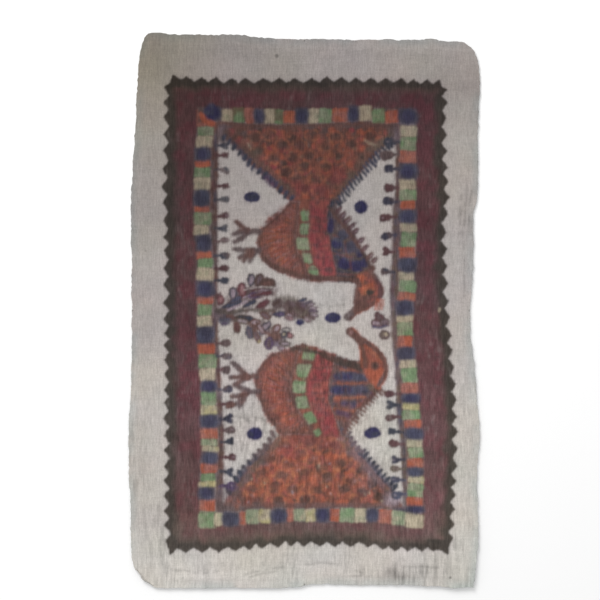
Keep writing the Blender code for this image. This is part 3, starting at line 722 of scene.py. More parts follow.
# Green blocks down each bird: middle, half width, half height, turn
UPPER_GREEN = """1,47.5,2.7,2.6,3 0.9,40.8,2.8,2.8,0 -0.2,33.5,3.4,2.8,-4 2,26,2.5,2.5,-12
    5.2,19.7,2.8,2.0,-25"""
LOWER_GREEN = """2.3,-22,3.0,2.5,-8 0,-29.8,3.7,3.2,-4 -2.3,-37.8,3.4,2.9,0 -1.2,-45.5,3.0,3.1,6
    3.3,-53.3,3.0,2.9,22 6.8,-60.5,1.8,1.7,30"""

# Feet: each stroke from the ankle outwards
FEET = {
    "upper_bird_foot_a": """-22.5,39.6 -29.5,39.8 | -28,39.8 -31,42 -34,44.5 | -28,39.8 -32,39.4 -35,38.4 |
        -28.5,38.8 -31,36.5 -34.8,34.5""",
    "upper_bird_foot_b": """-22.5,30 -28,30.3 -34.8,31 | -25,29.2 -29.5,28 -32,26.6 | -25,29.2 -28.5,27 -30,25 |
        -24.5,29 -26.5,26.5 -27,24.8""",
    "lower_bird_foot_a": """-23.5,-32 -28.5,-33 | -28,-33 -31,-30 -35.8,-26 | -28,-33 -36.5,-33.2 | -29,-33.5
        -33.5,-36.5""",
    "lower_bird_foot_b": """-23,-40 -28.5,-40.2 | -28,-40 -32,-38 -34.8,-36.8 | -28,-40.2 -31,-42 -36,-42.8 |
        -29,-41 -33,-46 -38,-47.3 | -28.5,-41 -32,-47.8""",
}


def hatch(loop, centre, swirl):
    """Fine feather strokes that fan out from a centre, kept inside an outline."""
    for spot in scattered(loop, 1400, 700, 0.8):
        away = spot - centre
        angle = np.arctan2(away[1], away[0]) + np.radians(swirl + hand.uniform(-12, 12))
        half = 0.5 * hand.uniform(2, 4.5) * np.array([np.cos(angle), np.sin(angle)])
        paint = pick("amber brown brick orange rose dark_brown brick")
        stroke([spot - half, spot + half], [0.15, 0.3], paint, hand.uniform(0.25, 0.6), 0.3)


def paint_body(bird, centre, swirl, greens, divisions, cuts):
    """A bird's breast, its green blocks and its red band."""
    breast = take(bird + "_breast")
    fill(breast, "rust/orange", 1, 0.8, -0.2, cuts)
    speckle(breast, 190, 2.0, "orange rust brick brick brown", 0.65, 1.0)
    hatch(breast, centre, swirl)
    band = take(bird + "_green_band")
    fill(band, "rust/brown", 1, 0.8, 0.8)
    for x, y, half_w, half_h, turn in rows(greens):
        block(x, y, half_w + 0.5, half_h + 0.6, "brown", 0.6, 0.7, turn, 1.2)
        block(x, y, half_w, half_h, "green/pale_green", 1, 0.7, turn, 1.2)
    speckle(band, 60, 0.9, "green pale_green grey_brown", 0.35, 0.5)
    band = take(bird + "_red_band")
    fill(band, "crimson/brick", 1, 0.7, 0.6, cuts)
    speckle(band, 110, 1.3, "crimson brick maroon maroon brown", 0.48, 0.8)
    stroke(band, 0.5, "brown", 0.45, 0.7, closed=True)
    for points in divisions:
        stroke(points, 0.55, "maroon", 0.5, 0.7)
    take(bird + "_breast")
    outline(breast, 2.6, 1.9, "brown/plum_grey", 0.5, 1.8, cuts)
    outline(breast, 0.7, 0.8, "brown/dark_brown", 0.75, 0.8, cuts)
    bristles(np.vstack([breast, breast[:1]]), 150, -0.4, 0.3, "brown", 0.5, 0.4, lean=-60, root=2.0)


def paint_upper_bird():
    divisions = [[(3, y), (8, y - 0.6), (13, y)] for y in (47, 40, 33, 27, 21)]
    paint_body("upper_bird", (14, 36), 12, UPPER_GREEN, divisions, "-15,48,8,7,1.4 4,15,18,4,0.7")
    loop = take("upper_bird_wing")
    fill(loop, "plum_grey/teal", 1, 0.8, 0.6)
    stroke("26.5,18 30,19.6 34,21.3", 1.9, "brown", 1, 0.8)
    speckle(loop, 110, 1.2, "brown maroon slate plum_grey", 0.5, 0.8)
    for x, y, half_w, half_h, turn in rows("""13.3,43,1.7,4.2,0 19.6,38,3.2,2.5,20 17,34,2.9,2.9,0
            22.6,31.6,3.6,2.8,20 20.2,23.6,3.3,2.9,0 26.6,22.6,3.9,2.9,-8 27.5,29,1.8,2.4,20 30.6,24,1.6,2.4,30"""):
        blob(x, y, half_w, half_h, "slate/navy" if x > 15 else "navy", 0.85, 0.8, turn)
        arch = [(x - half_w, y - half_h), (x, y - half_h - 0.6), (x + half_w, y - half_h)]
        stroke(arch, 0.4, "grey_brown", 0.6)
    strokes("""13.8,29 18,28 24,27 | 20.6,34.6 20.8,31 21.5,28.5 | 15,38 17.5,37 | 16,18.6 21,18.3 27.4,18.3 |
        23.2,25.5 23.5,21.5""", 0.4, "rust", 0.4, 0.6)
    stroke("11.8,16.4 19,16.5 27.4,16.8", 1.0, "dark_brown", 0.9, 0.6)
    stroke("12.5,52 15,48.4 21.1,41.1 26.7,33.6 31.6,25.7 34.2,20.5", 0.9, "brown/dark_brown", 0.85, 0.8)
    for x, y, turn in rows("""17.5,50.4,60 19.5,48,50 21.6,45.4,50 24,42.6,45 25.8,39.6,50 28.6,35.4,40
            30.4,31.6,45 33,27.4,50 35,25.2,50"""):
        blob(x, y, 2.4, 1.35, "maroon/brown", 0.95, turn=turn)
        blob(x + 0.4, y, 1.0, 0.3, "lilac", 0.5, 0.4, turn)

    loop = take("upper_bird_head")
    fill(loop, "rust/brown", 1, 0.7, 0.1)
    stroke("28.5,16.5 30.5,13.5 30,10", [2.2, 2.6, 1.8], "orange/amber", 1, 1.0)
    stroke("32,16.5 35.5,12.5 35.5,8.5", [1.4, 1.8, 1.2], "orange/brick", 1, 1.0)
    speckle(loop, 70, 1.1, "brick brown maroon amber rust", 0.5)
    stroke(smooth("33.3,20 36.3,16.2 38.7,11 38.5,7.8 35.9,4.6 30.3,2.2"), 1.2, "brown/maroon", 0.9, 0.8)
    stroke("26.9,16 26.2,10.5 25.6,4.5", [0.9, 0.9, 1.4], "brown", 0.9, 0.7)
    blob(29, 4.8, 4, 3.2, "maroon/brown", 0.7, 1.2)
    stroke(smooth("29.5,3 26,1.2 21.8,-3.0"), [2.6] * 4 + [2.1] * 5, "brown/plum_grey", 0.95, 0.6)
    blob(33, 9.5, 2.2, 1.3, "black_green", 0.98)
    for x in (36.6, 37.8, 39.0, 40.0):
        stroke([(x, 5.6), (x - 0.6, 3), (x - 1.2, 0.8)], 0.55, "orange", 0.75, 0.6)
    take("upper_bird_breast")
    belly = smooth("-20,25.8 -15.2,22.5 -8.4,19.6 0,17.1 8,16.2 17,15.8 25.5,15.2 28,13")
    stroke(belly, 1.1, "brown/dark_brown", 0.9, 0.7)
    bristles(belly, 60, 0.8, 0.35, "brown", 0.7, 0.4, lean=-70, root=1.2)


def paint_lower_bird():
    divisions = [[(4, y), (9, y - 0.4), (14, y + 0.3)] for y in (-28.5, -34.5, -40.8, -48.5)]
    paint_body("lower_bird", (12, -38), -12, LOWER_GREEN, divisions, "9,-20,16,5,0.9")
    loop = take("lower_bird_wing")
    fill(loop, "brown/plum_grey", 1, 0.8, 0.6, "26,-54,8,9,1.6 20,-23,12,4,0.8")
    stroke("28.5,-26 31,-31 34.5,-36 37,-39", 1.8, "rust/brown", 1, 0.8)
    speckle(loop, 170, 1.2, "brown maroon rust slate brick purple", 0.65, 0.7)
    for points, half, second in (("16.5,-32.6 22,-32.8 30,-33.4", [2.0, 2.6, 1.7], "slate"),
                                 ("15,-39.6 22,-39.6 31,-39.4", [2.3, 2.5, 1.9], "slate"),
                                 ("19.5,-46.2 24.5,-47", [1.5, 1.4], "slate"),
                                 ("17.5,-50.5 22.5,-52", [1.8, 1.5], "purple")):
        stroke(points, half, "slate/ink", 0.9, 1.1)
        stroke(rows(points)[:2], np.array(half[:2]) * 0.7, "navy/" + second, 0.75, 1.1)
    for _ in range(26):
        x, y = hand.uniform(14, 32), hand.uniform(-54, -28)
        stroke([(x, y), (x + 0.3, y - 2.5)], 0.3, "maroon", 0.5)
    blob(21, -51, 5, 5, "rust", 0.3, 2.0)
    strokes("""16.5,-36.4 24,-36.4 32,-35.8 | 14.7,-43.3 22,-43.5 31,-43 | 15,-48.8 20,-49.2 25,-50 |
        18,-28.8 27,-30.6""", 0.5, "rust/amber", 0.7, 0.6)
    edge = rows("37,-39.3 32.6,-44 29.2,-48 25.6,-52 22.5,-56.5 20,-60.5")
    stroke(edge, 0.9, "brown/maroon", 0.85, 0.8)
    blob(35, -38.6, 3.4, 2.3, "grey_brown/brown", 0.8, 0.9, -20)
    bristles(np.vstack([(38.5, -39), edge[1:]]), 15, 2.6, 0.7, "brown", 0.85, slant=-38)
    back = smooth("-6,-18.8 1,-19.6 8,-21 16,-24.5 23,-26.7 29.5,-29")
    stroke(back, [1.0] * 9 + [1.8] * 12, "black_green/dark_brown", 0.9, 0.8)

    loop = take("lower_bird_head")
    fill(loop, "rust/orange", 1, 0.7, 0.1)
    speckle(loop, 60, 1.2, "orange amber rust brick", 0.5)
    stroke("32.5,-30.5 36,-32 38.5,-30", [1.6, 2.6, 1.6], "orange", 1, 0.9)
    crown = smooth("26.8,-13 30.1,-15.1 34,-17.6 37.8,-21.2 40.7,-26.3 40.5,-31.4 37.4,-36.6")
    stroke(crown, 1.2, "brown/plum_grey", 0.9, 0.8)
    stroke(smooth("26.5,-13 28.8,-17 30,-22 30.6,-27.5"), 1.3, "brown/dark_brown", 0.85, 0.8)
    stroke("22.8,-10.2 25.4,-12.4 28.4,-15", [2.1, 1.9, 2.0], "brown", 0.95)
    blob(23.6, -10.6, 0.9, 0.8, "rose", 0.6)
    blob(35.6, -27.4, 2.1, 1.9, "brown", 0.9, 0.6)
    blob(35.6, -27.4, 1.1, 1.0, "dark_brown", 0.9)


def paint_feet():
    for node, toes in FEET.items():
        take(node)
        for toe in lines(toes):
            curve = smooth(toe)
            stroke(curve, np.linspace(1.6, 1.25, len(curve)), "brown/plum_grey", 0.95, 0.8)


# ---- the tree

# Leaves, as the leaves function reads them
UPPER_LEAVES = """-28.9,10,-23,11.2,1.2,maroon -33,7,-26,9.6,1.5,plum_grey -28,7.3,-22,8,1.9,purple:maroon
    -23.6,8.3,-16.2,9,1.5,maroon:wine -22.8,10.3,-16.8,10.9,1.1,maroon:lilac -23.8,1.8,-17.6,5,2.0,maroon:wine
    -34.9,4.9,-35.4,10.9,2.1,teal:lilac -30.6,7,-30.9,12.8,2.4,wine:rose -26.6,12.5,-26.3,17.6,2.2,teal:lilac
    -22,11.5,-22.2,17.4,2.6,dark_brown:mauve -21.5,12.9,-16,13.6,3.1,dark_brown:brown
    -40.5,1.9,-30.6,5.2,1.8,teal:slate -30,2,-24,5.2,1.6,teal:slate -37,4.4,-31,7.2,1.3,slate
    -42,4.3,-41.4,7,2.0,wine:rose"""
TRUNK_LEAVES = """-15,3,-12.5,5,1.8,plum_grey:dark_brown -15.2,-1.4,-9.8,-1.9,1.7,slate:purple
    -3,4.8,1.5,6.2,1.0,slate -0.4,3.6,4.4,5,0.9,slate:mauve 1,2.4,5.6,3.8,0.95,plum_grey:lilac
    1.6,1.2,7,1.9,0.95,plum_grey:lilac 2,0,7.2,0.1,0.95,purple:mauve 2.2,-1.2,7.2,-2.4,1.0,plum_grey:lilac
    1,-2,5.4,-4,1.0,brown:mauve -0.4,-3,3.6,-5.4,1.0,brown:lilac -9,-1.6,-5.4,-2.6,1.3,brown:lilac
    -9.4,-3.4,-5,-4,1.1,rose:mauve"""
LOWER_LEAVES = """-34,-3,-27.4,-3.8,1.6,black_green:teal -34.5,-4.6,-28,-5.6,1.5,grey_brown:lilac
    -29.5,-3,-24,-4.6,1.5,teal -26.4,-5.6,-22.4,-5.4,1.9,brown:lilac -33.6,-5.6,-33.1,-10.2,2.0,brown:maroon
    -22,-0.8,-17,-3,1.8,brown:mauve -21.4,-9.4,-16.6,-5.6,1.8,teal:lilac -27.6,-7.6,-26.8,-13.4,1.9,slate:mauve
    -24.8,-9.2,-22.2,-15.4,1.6,brown:mauve -14.6,-9.6,-12.9,-8.2,2.1,brown:lilac
    -10.6,-9.7,-6.9,-9.3,1.5,teal:cloth -8,-12.4,-6,-12.1,1.5,wine:rose -17.4,-13.4,-17.9,-18,2.4,purple:plum_grey
    -12,-16,-7.2,-16.4,1.5,black_green:lilac -13,-18.4,-9.6,-18.8,1.4,mauve:lilac
    -23.4,-5.4,-20,-11.4,1.1,brown:lilac"""


def paint_tree():
    upper, trunk, lower = "tree_upper_branch", "tree_trunk", "tree_lower_branch"
    darks = "plum_grey dark_brown maroon purple teal brown mauve"
    take(upper)
    blob(-29, 7.5, 9, 3.8, "plum_grey", 0.7, 1.6, 18)
    take(lower)
    blob(-27, -5.6, 11, 3.4, "plum_grey", 0.5, 1.8, -28)
    take(upper)
    thicket("-39,2 -33,6 -26,9 -17,11", 18, 4.6, darks)
    take(lower)
    thicket("-38,-2.5 -29,-6 -21,-9 -11,-13", 22, 4.4, darks)
    take(trunk)
    blob(-40, -1.8, 5, 3.8, "mauve", 0.95, 1.3)
    blob(-9.5, 4.6, 7.5, 3.2, "grey_brown", 0.7, 1.3)
    blob(-11, 1.6, 5, 2.2, "plum_grey", 0.6, 1.3)
    blob(-6.4, 3.4, 3, 2.2, "black_green", 0.55, 1.3)
    blob(-2.6, 0.4, 7, 4.4, "plum_grey", 0.85, 1.3)
    blob(-4, 0.6, 5, 3, "brown", 0.75, 1.3)
    blob(-7, -2.7, 3.2, 2.2, "mauve", 0.7, 1.3)
    blob(-0.5, -1.6, 4, 2.6, "dark_brown", 0.65, 1.3)
    blob(0, 3.4, 3, 2, "purple", 0.5, 1.3)
    thicket("-40,-1 -30,0.5 -14,1", 16, 2.6, darks)
    thicket("-12,2 -5,1.5 2,-0.5", 22, 3.6, "plum_grey mauve grey_brown dark_brown")
    stem = smooth("-43,0 -36,-0.6 -29,0.6 -22,0.2 -15.5,0.6")
    stroke(stem, [1.5] * 9 + [0.9] * 8, "black_green/grey_brown", 0.8, 0.8)
    blob(-39.4, -4.6, 3.0, 2.8, "plum_grey/slate", 0.85, 0.9)
    blob(-39.2, -6.4, 1.8, 0.9, "navy/purple", 0.7)
    leaves(TRUNK_LEAVES)
    blob(-1.6, -5.4, 2.1, 1.6, "slate/navy")

    take(upper)
    blob(-29, 7.5, 7.5, 2.6, "plum_grey", 0.5, 1.4, 12)
    stroke(smooth("-36,2 -30,7.5 -24,11 -19,13"), 0.8, "maroon", 0.8)
    leaves(UPPER_LEAVES)
    stroke("-37.5,0.6 -32,3 -28.5,4.9", 0.55, "lilac", 0.9)
    for _ in range(16):
        x, y = hand.uniform(-31, -17), hand.uniform(5, 12)
        stroke([(x, y), (x + 2.4, y + 0.7)], 0.2, "lilac", 0.4, 0.3)
    for line in lines("-29.5,10.4 -22,11.8 -15.5,11.4 | -29.5,0.9 -24.6,3.4 -18.6,7"):
        stroke(smooth(line), 0.3, "cloth", 0.7, 0.4)

    take(lower)
    stroke(smooth("-38,-2.5 -30,-4.8 -22,-9 -14,-13.4"), 0.9, "brown", 0.8)
    blob(-14.4, -12.8, 4.6, 2.6, "dark_brown/brown", 0.9, 0.8)
    blob(-13.4, -15.8, 3.2, 2.1, "purple/dark_brown", 0.8, 0.8)
    leaves(LOWER_LEAVES)
    blob(-22.3, -15.2, 0.8, 1.0, "yellow", 0.6)
    blob(-9.6, -12, 1.7, 1.5, "teal")
    blob(-9.6, -12, 0.8, 0.7, "cream", 0.9, 0.4)


def paint_dots_and_flowers():
    for name in ("upper_left", "upper_right", "middle", "lower_left", "lower_right"):
        loop = take("dot_" + name)
        fill(loop, "navy", grow=0.35)
        fill(loop, "navy/teal", 0.7, grow=-0.6)
    take("flower_bud_large")
    leaves("39,-6.5,36.4,-1.6,2.3,maroon:plum_grey 40,-7,34,-6,1.8,maroon:lilac 38.5,-6,41.6,-5.4,1.9,plum_grey:mauve")
    stroke("34,-8 38,-8.8 42,-7.4", 0.7, "maroon/navy", 0.8)
    take("flower_bud_small")
    blob(40.3, -12, 3.0, 2.4, "dark_brown/plum_grey")
    blob(40.3, -12, 2.2, 1.6, "mauve/grey_brown")
    blob(41.1, -11.8, 1.0, 0.9, "cream", 0.85)


def paint_everything():
    paint_edging_and_maroon()
    paint_inner_line()
    for node in BLOCKS:
        paint_blocks(node)
    paint_corner_blocks()
    paint_upper_tail()
    paint_lower_tail()
    paint_buds()
    paint_tree()
    paint_upper_bird()
    paint_lower_bird()
    paint_feet()
    paint_dots_and_flowers()


# ---- painted shade, and age: soil, fading and specks

# Painted shade: the share of light given back, less towards the top and top left; height in mm, then left, middle and
# right
PAINTED_SHADE = rows("""-139,1.14,1.08,1.07 -105,0.88,0.97,1.03 -40,0.86,0.9,0.96 -12,0.66,0.83,0.8 28,0.63,0.74,0.71
    46,0.52,0.59,0.68 85,0.5,0.53,0.63 112,0.39,0.48,0.49 139,0.36,0.51,0.58""").T

# Grey smudges from handling: middle, half width, half height, share of light lost
SMUDGES = rows("""-22,-53.6,8,2.4,0.13 46,-131.5,6.5,4.2,0.34 57,-131.5,6,3.5,0.17 66,-130,8,5,0.06 80,46,5,14,0.08
    -32,-52,9,7,0.07 -29,-64,9,10,0.06 -14.5,4,20,8,0.04""")

# Soft wrinkles: the cloth dips along them, and its colour darkens along them as painted shade
WRINKLES = """-28,-52.4 -21,-53.6 -14.5,-54.6 | -34,-133.5 -26,-131 -18,-129 -11,-128.2 | -27,-133.2 -21,-131.2
    -14,-130.5 | 20,-130 25,-129.7 30,-131 | 21.5,-132 25.5,-132.6 29.5,-131.6 | 1,-126.5 10,-126 18,-127 | 50,-127.9
    58,-127.4 67,-128 | 81.2,66 80.6,50 79.8,40 80.2,27 80,7 | 83.4,60 82.6,47 82.9,38 | 78.6,58 78,44 77.2,33 |
    -34,-43.5 -28,-41.5 -24,-42.8 | -42,-54 -34,-52.5 -27,-54.5 | 7,3.5 14,2.2 20,3 | -66,-129 -52,-130.5
    -43,-129.8"""

# Dark specks: middle, half width, share of light lost
SPECKS = rows("""-13.5,127.5,0.9,0.45 73,-133,0.6,0.5 -22,129,0.5,0.15 -29,127.5,0.6,0.12 72,-138,0.4,0.3
    -60,-133,0.4,0.2 61,124,0.5,0.2 -79,30,0.5,0.25 79,-60,0.4,0.2""")


def wrinkles():
    """How deep each point lies in a wrinkle, from 0 to 1."""
    depth = np.zeros(len(X))
    for points in lines(WRINKLES):
        where = near(points.min(0), points.max(0), 4.0)
        distance = distance_to_line(HAND_X[where], HAND_Y[where], smooth(points), 0)
        depth[where] = np.maximum(depth[where], np.exp(-(distance / 0.75) ** 2))
    return depth * ramp(noise(X, Y, 2.5, 2.5, 96), -0.9, 0.3)


def dirt_and_painted_shade():
    """The share of light left after smudges and specks, and painted shade in wrinkles, crepe creases and bands across
    the bottom.
    """
    # Painted shade of the crepe's fine creases: dark upright streaks in patches, more of them lower down, and a faint
    # uneven tone
    streaks = noise(X + 0.5 * noise(X, Y, 4, 9, 90), Y, 0.8, 6, 91)
    patches = ramp(cloudy(X, Y, 16, 92), -0.4, 0.5) * (0.3 + 0.7 * ramp(-Y, -20, 90))
    lost = 0.22 * ramp(streaks, -0.2, 0.9) * patches + 0.05 * noise(X, Y, 5, 3, 97) * noise(X, Y, 9, 9, 98)
    for x, y, half_w, half_h, share in SMUDGES:
        spot = np.exp(-((X - x) / half_w) ** 2 - ((Y - y) / half_h) ** 2)
        lost += share * spot * (1.15 + 0.35 * streaks + 0.25 * noise(X, Y, 3, 2, 95))
    for x, y, half, share in SPECKS:
        lost += share * ramp(-np.hypot(HAND_X - x, HAND_Y - y), -half - 0.5, -half + 0.4)
    # Painted shade of shallow wrinkles across the bottom margin: soft bands, lighter and darker
    bands = 0.035 * noise(X, Y, 22, 2.2, 94) * ramp(-Y, 112, 122)
    # Painted shade of the crepe's fine creases: dark and light streaks, strongest in the field, lower down, in the
    # bottom margin and at the lower right
    middle = ramp(-abs(X - 1), -72, -66) * ramp(-abs(Y), -116, -110)
    creased = middle * (0.4 + 0.6 * ramp(-abs(X - 1), -46, -42) * ramp(-abs(Y), -98, -92))
    creased *= 0.7 + 0.9 * ramp(-Y, -40, 60)
    creased += 0.45 * ramp(-Y, 108, 125) + 0.35 * ramp(X, 70, 78) * ramp(-Y, -110, -60)
    lost += creased * (0.09 * noise(X, Y, 0.75, 2.5, 99) + 0.045 * noise(X, Y, 1.6, 1.2, 100))
    # The wrinkles are darkened as painted shade
    return 1 - np.clip(lost + 0.19 * wrinkles() + bands, -0.1, 0.7)


def painted_shade_and_soil():
    """The share of light left at each point, by colour: painted shade that darkens and warms the top and top left, and
    soil that yellows the top left corner.
    """
    left, middle, right = (np.interp(Y, PAINTED_SHADE[0], share) for share in PAINTED_SHADE[1:])
    across = np.clip(X / 70, -1, 1)
    level = middle + np.where(across < 0, (middle - left) * across, (right - middle) * across)
    level = level + 0.03 * cloudy(X, Y, 30, 41) + 0.03 * cloudy(X, Y, 9, 45)
    corner = ramp(-X, 30, 80) * ramp(Y, 50, 120)
    # Painted shade at the fold along the rim: a little darker and bluer within 5 mm of the edge
    rim = ramp(-edge_distance(), -5, 0) * ramp(cloudy(X, Y, 12, 57), -0.4, 0.3)
    red = 1.0 + 0.1 * (1 - level) + 0.04 * cloudy(X, Y, 18, 53) - 0.07 * rim
    blue = 1.0 + 0.04 * (1 - level) - 0.12 * corner + 0.05 * cloudy(X, Y, 22, 49) + 0.02 * rim
    return (level * (1 - 0.05 * rim))[:, None] * np.stack([red, np.ones_like(red), blue], axis=-1)


# ---- relief


def edge_distance():
    """How far each point lies inside the edge of the cloth."""
    grid = np.moveaxis(GRID, 2, 0)
    rim = [np.abs(grid[0] - grid[0][:, :1]), np.abs(grid[0][:, -1:] - grid[0]),
           np.abs(grid[1] - grid[1][:1]), np.abs(grid[1][-1:] - grid[1])]
    return np.min(rim, axis=0).ravel()


def billow(x, y):
    """The height of the cloth's underside over the floor, in mm: slow waves and slightly lifted corners."""
    waves = 0.9 * noise(x, y, 44, 60, 61) + 0.35 * noise(x, y, 19, 26, 62) + 0.75
    corners = sum(lift * np.exp(-(np.hypot(x - cx, y - cy) / reach) ** 2)
                  for cx, cy, lift, reach in ((-86, 137, 0.8, 16), (86, -137, 0.9, 20), (84, 136, 0.6, 14),
                                              (-86, -136, 0.5, 12)))
    return FLOOR_GAP + 0.5 * np.maximum(waves, 0) + corners


def crinkle(x, y):
    """Fine crepe: narrow upright creases, and long shallow ones across."""
    upright = 0.02 * noise(x, y, 1.5, 12, 63) + 0.06 * noise(x, y, 3.6, 18, 64)
    across = 0.05 * noise(x, y, 16, 2.6, 65)
    return upright + across * (0.5 + ramp(-y, 100, 125))


def relief():
    """The height of the painted side at each point of the grid, in mm."""
    inside = edge_distance()
    double = 2 * FOLD_RADIUS
    layers = double + (CLOTH_THICKNESS - double) * ramp(inside, TURNED_UNDER - 0.3, TURNED_UNDER + 6)
    ridge = 0.1 * np.exp(-((inside - TURNED_UNDER + 0.3) / 0.7) ** 2)
    return billow(X, Y) + layers + ridge + crinkle(X, Y) * ramp(inside, 0, 3) - 0.16 * wrinkles()


# ---- materials

BUMP_DEPTH = 0.00012
WAVE_PERIOD = 0.314  # a wave texture's wavelength at a scale of 1
THREAD_PITCH = {"X": 0.0006, "Y": 0.0007}


def new_material(name):
    """A material with next to no gloss, its node tree and its shader."""
    material = bpy.data.materials.new(name)
    material.use_nodes = True
    shader = material.node_tree.nodes["Principled BSDF"]
    shader.inputs["Specular IOR Level"].default_value = 0.1
    return material, material.node_tree, shader


def give(socket, value):
    """Feeds a socket with a number, or with the output of another node."""
    if isinstance(value, bpy.types.NodeSocket):
        socket.id_data.links.new(value, socket)
    else:
        socket.default_value = value


def node(tree, kind, **settings):
    """A node. Each setting is an attribute of it, or one of its inputs with _ for a space."""
    item = tree.nodes.new("ShaderNode" + kind)
    for key, value in settings.items():
        if hasattr(item, key):
            setattr(item, key, value)
        else:
            give(item.inputs[key.replace("_", " ")], value)
    return item


def cloth_material(name, roughness, show_through=None, painted_over=False):
    """Crepe-like cotton that takes its colour from the paint attribute.

    show_through is the share of the paint's colour that reaches the back of the cloth."""
    material, tree, shader = new_material(name)
    give(shader.inputs["Sheen Weight"], 0.0 if painted_over else 0.03)
    give(shader.inputs["Sheen Roughness"], 0.6)
    place = node(tree, "TexCoord").outputs["Object"]

    def threads(scale, detail=2.0):
        """Noise stretched along one way. scale is in cycles per metre."""
        vector = node(tree, "Mapping", Vector=place, Scale=scale).outputs["Vector"]
        return node(tree, "TexNoise", Vector=vector, Scale=1.0, Detail=detail, Roughness=0.6).outputs["Fac"]

    def ranged(value, low, high):
        """Noise brought into a range. Most of it lies between 0.3 and 0.7 before."""
        item = node(tree, "MapRange", Value=value, From_Min=0.3, From_Max=0.7, To_Min=low, To_Max=high)
        return item.outputs["Result"]

    def maths(operation, a, b):
        item = node(tree, "Math", operation=operation)
        give(item.inputs[0], a)
        give(item.inputs[1], b)
        return item.outputs["Value"]

    def weave(direction):
        scale = WAVE_PERIOD / THREAD_PITCH[direction]
        item = node(tree, "TexWave", bands_direction=direction, Vector=place, Scale=scale, Distortion=0.6)
        return item.outputs["Fac"]

    colour = node(tree, "Attribute", attribute_name="paint").outputs["Color"]
    if show_through is not None:
        bleed = node(tree, "Mix", data_type="RGBA", Factor=show_through, A=(*linear(CLOTH) * 0.8, 1), B=colour)
        colour = next(socket for socket in bleed.outputs if socket.type == "RGBA")

    slubs = threads((1700, 210, 200))
    wefts = threads((110, 1100, 200))
    grain = threads((1500, 1500, 400), detail=3.0)
    uneven = 0.2 if painted_over else 0.11
    dark = maths("MULTIPLY", ranged(slubs, 1 - uneven, 1 + uneven), ranged(wefts, 0.96, 1.04))
    dark = maths("MULTIPLY", dark, ranged(grain, 0.93 - uneven / 4, 1.07 + uneven / 4))
    shade = node(tree, "VectorMath", operation="SCALE", Scale=dark)
    give(shade.inputs[0], colour)
    give(shader.inputs["Base Color"], shade.outputs["Vector"])
    give(shader.inputs["Roughness"], ranged(grain, roughness - 0.06, roughness + 0.05))

    woven = maths("MULTIPLY", weave("X"), weave("Y"))
    height = maths("ADD", maths("MULTIPLY", slubs, 0.8), maths("MULTIPLY", woven, 0.3 if painted_over else 0.45))
    bump = node(tree, "Bump", Strength=0.55 if painted_over else 0.7, Distance=BUMP_DEPTH, Height=height)
    give(shader.inputs["Normal"], bump.outputs["Normal"])
    return material


def floor_material():
    material, tree, shader = new_material("floor")
    give(shader.inputs["Base Color"], (0.93, 0.93, 0.93, 1))
    texture = node(tree, "TexNoise", Scale=300)
    rough = node(tree, "MapRange", Value=texture.outputs["Fac"], To_Min=0.85, To_Max=0.95)
    give(shader.inputs["Roughness"], rough.outputs["Result"])
    return material


# ---- meshes

SLOTS = {subpart["node"]: subpart["material_slot"] for subpart in frame["record"]["subparts"]}


def add_mesh(name, points, faces, colours):
    """A mesh object from points in mm, with a colour at each point."""
    mesh = bpy.data.meshes.new(name)
    points, faces = np.asarray(points, np.float32) * MM, np.asarray(faces, np.int32)
    mesh.vertices.add(len(points))
    mesh.vertices.foreach_set("co", points.ravel())
    mesh.loops.add(faces.size)
    mesh.loops.foreach_set("vertex_index", faces.ravel())
    mesh.polygons.add(len(faces))
    mesh.polygons.foreach_set("loop_start", np.arange(0, faces.size, faces.shape[1], dtype=np.int32))
    mesh.polygons.foreach_set("use_smooth", np.ones(len(faces), bool))
    mesh.update(calc_edges=True)
    attribute = mesh.color_attributes.new("paint", "FLOAT_COLOR", "POINT")
    rgba = np.column_stack([np.clip(colours, 0, 1), np.ones(len(colours))]).astype(np.float32)
    attribute.data.foreach_set("color", rgba.ravel())
    item = bpy.data.objects.new(name, mesh)
    bpy.context.scene.collection.objects.link(item)
    return item


def grid_faces(rows, columns):
    start = (np.arange(rows - 1)[:, None] * columns + np.arange(columns - 1)[None]).ravel()
    return np.stack([start, start + 1, start + columns + 1, start + columns], axis=-1)


def rim_numbers():
    """The grid's outermost points, anticlockwise."""
    numbers = np.arange(ROWS * COLUMNS).reshape(ROWS, COLUMNS)
    return np.r_[numbers[0, :-1], numbers[:-1, -1], numbers[-1, :0:-1], numbers[:0:-1, 0]]


def fold_rings(rim, heights):
    """Rings of points that carry the edge of the cloth round its fold and in again underneath."""
    x, y = X[rim], Y[rim]
    reach = 6
    dx, dy = np.roll(x, -reach) - np.roll(x, reach), np.roll(y, -reach) - np.roll(y, reach)
    size = np.hypot(dx, dy)
    out_x, out_y = dy / size, -dx / size
    ends = np.array([0, COLUMNS - 1, COLUMNS + ROWS - 2, 2 * COLUMNS + ROWS - 3])
    steps = np.arange(len(rim))[:, None] - ends[None]
    from_corner = np.abs((steps + len(rim) // 2) % len(rim) - len(rim) // 2).min(1) * SPACING
    depth = 0.8 + (TURNED_UNDER - 0.8) * ramp(from_corner, 1, 11)
    rings = []
    for angle in np.radians((30, 60, 90, 120, 150, 180)):
        bulge = 0.3 * FOLD_RADIUS * np.sin(angle)
        drop = FOLD_RADIUS * (1 - np.cos(angle))
        rings.append(np.stack([x + out_x * bulge, y + out_y * bulge, heights - drop], axis=-1))
    for share in (0.12, 0.3, 0.5, 0.7, 0.85, 1.0):
        fx, fy = x - out_x * depth * share, y - out_y * depth * share
        rings.append(np.stack([fx, fy, billow(fx, fy)], axis=-1))
    return rings


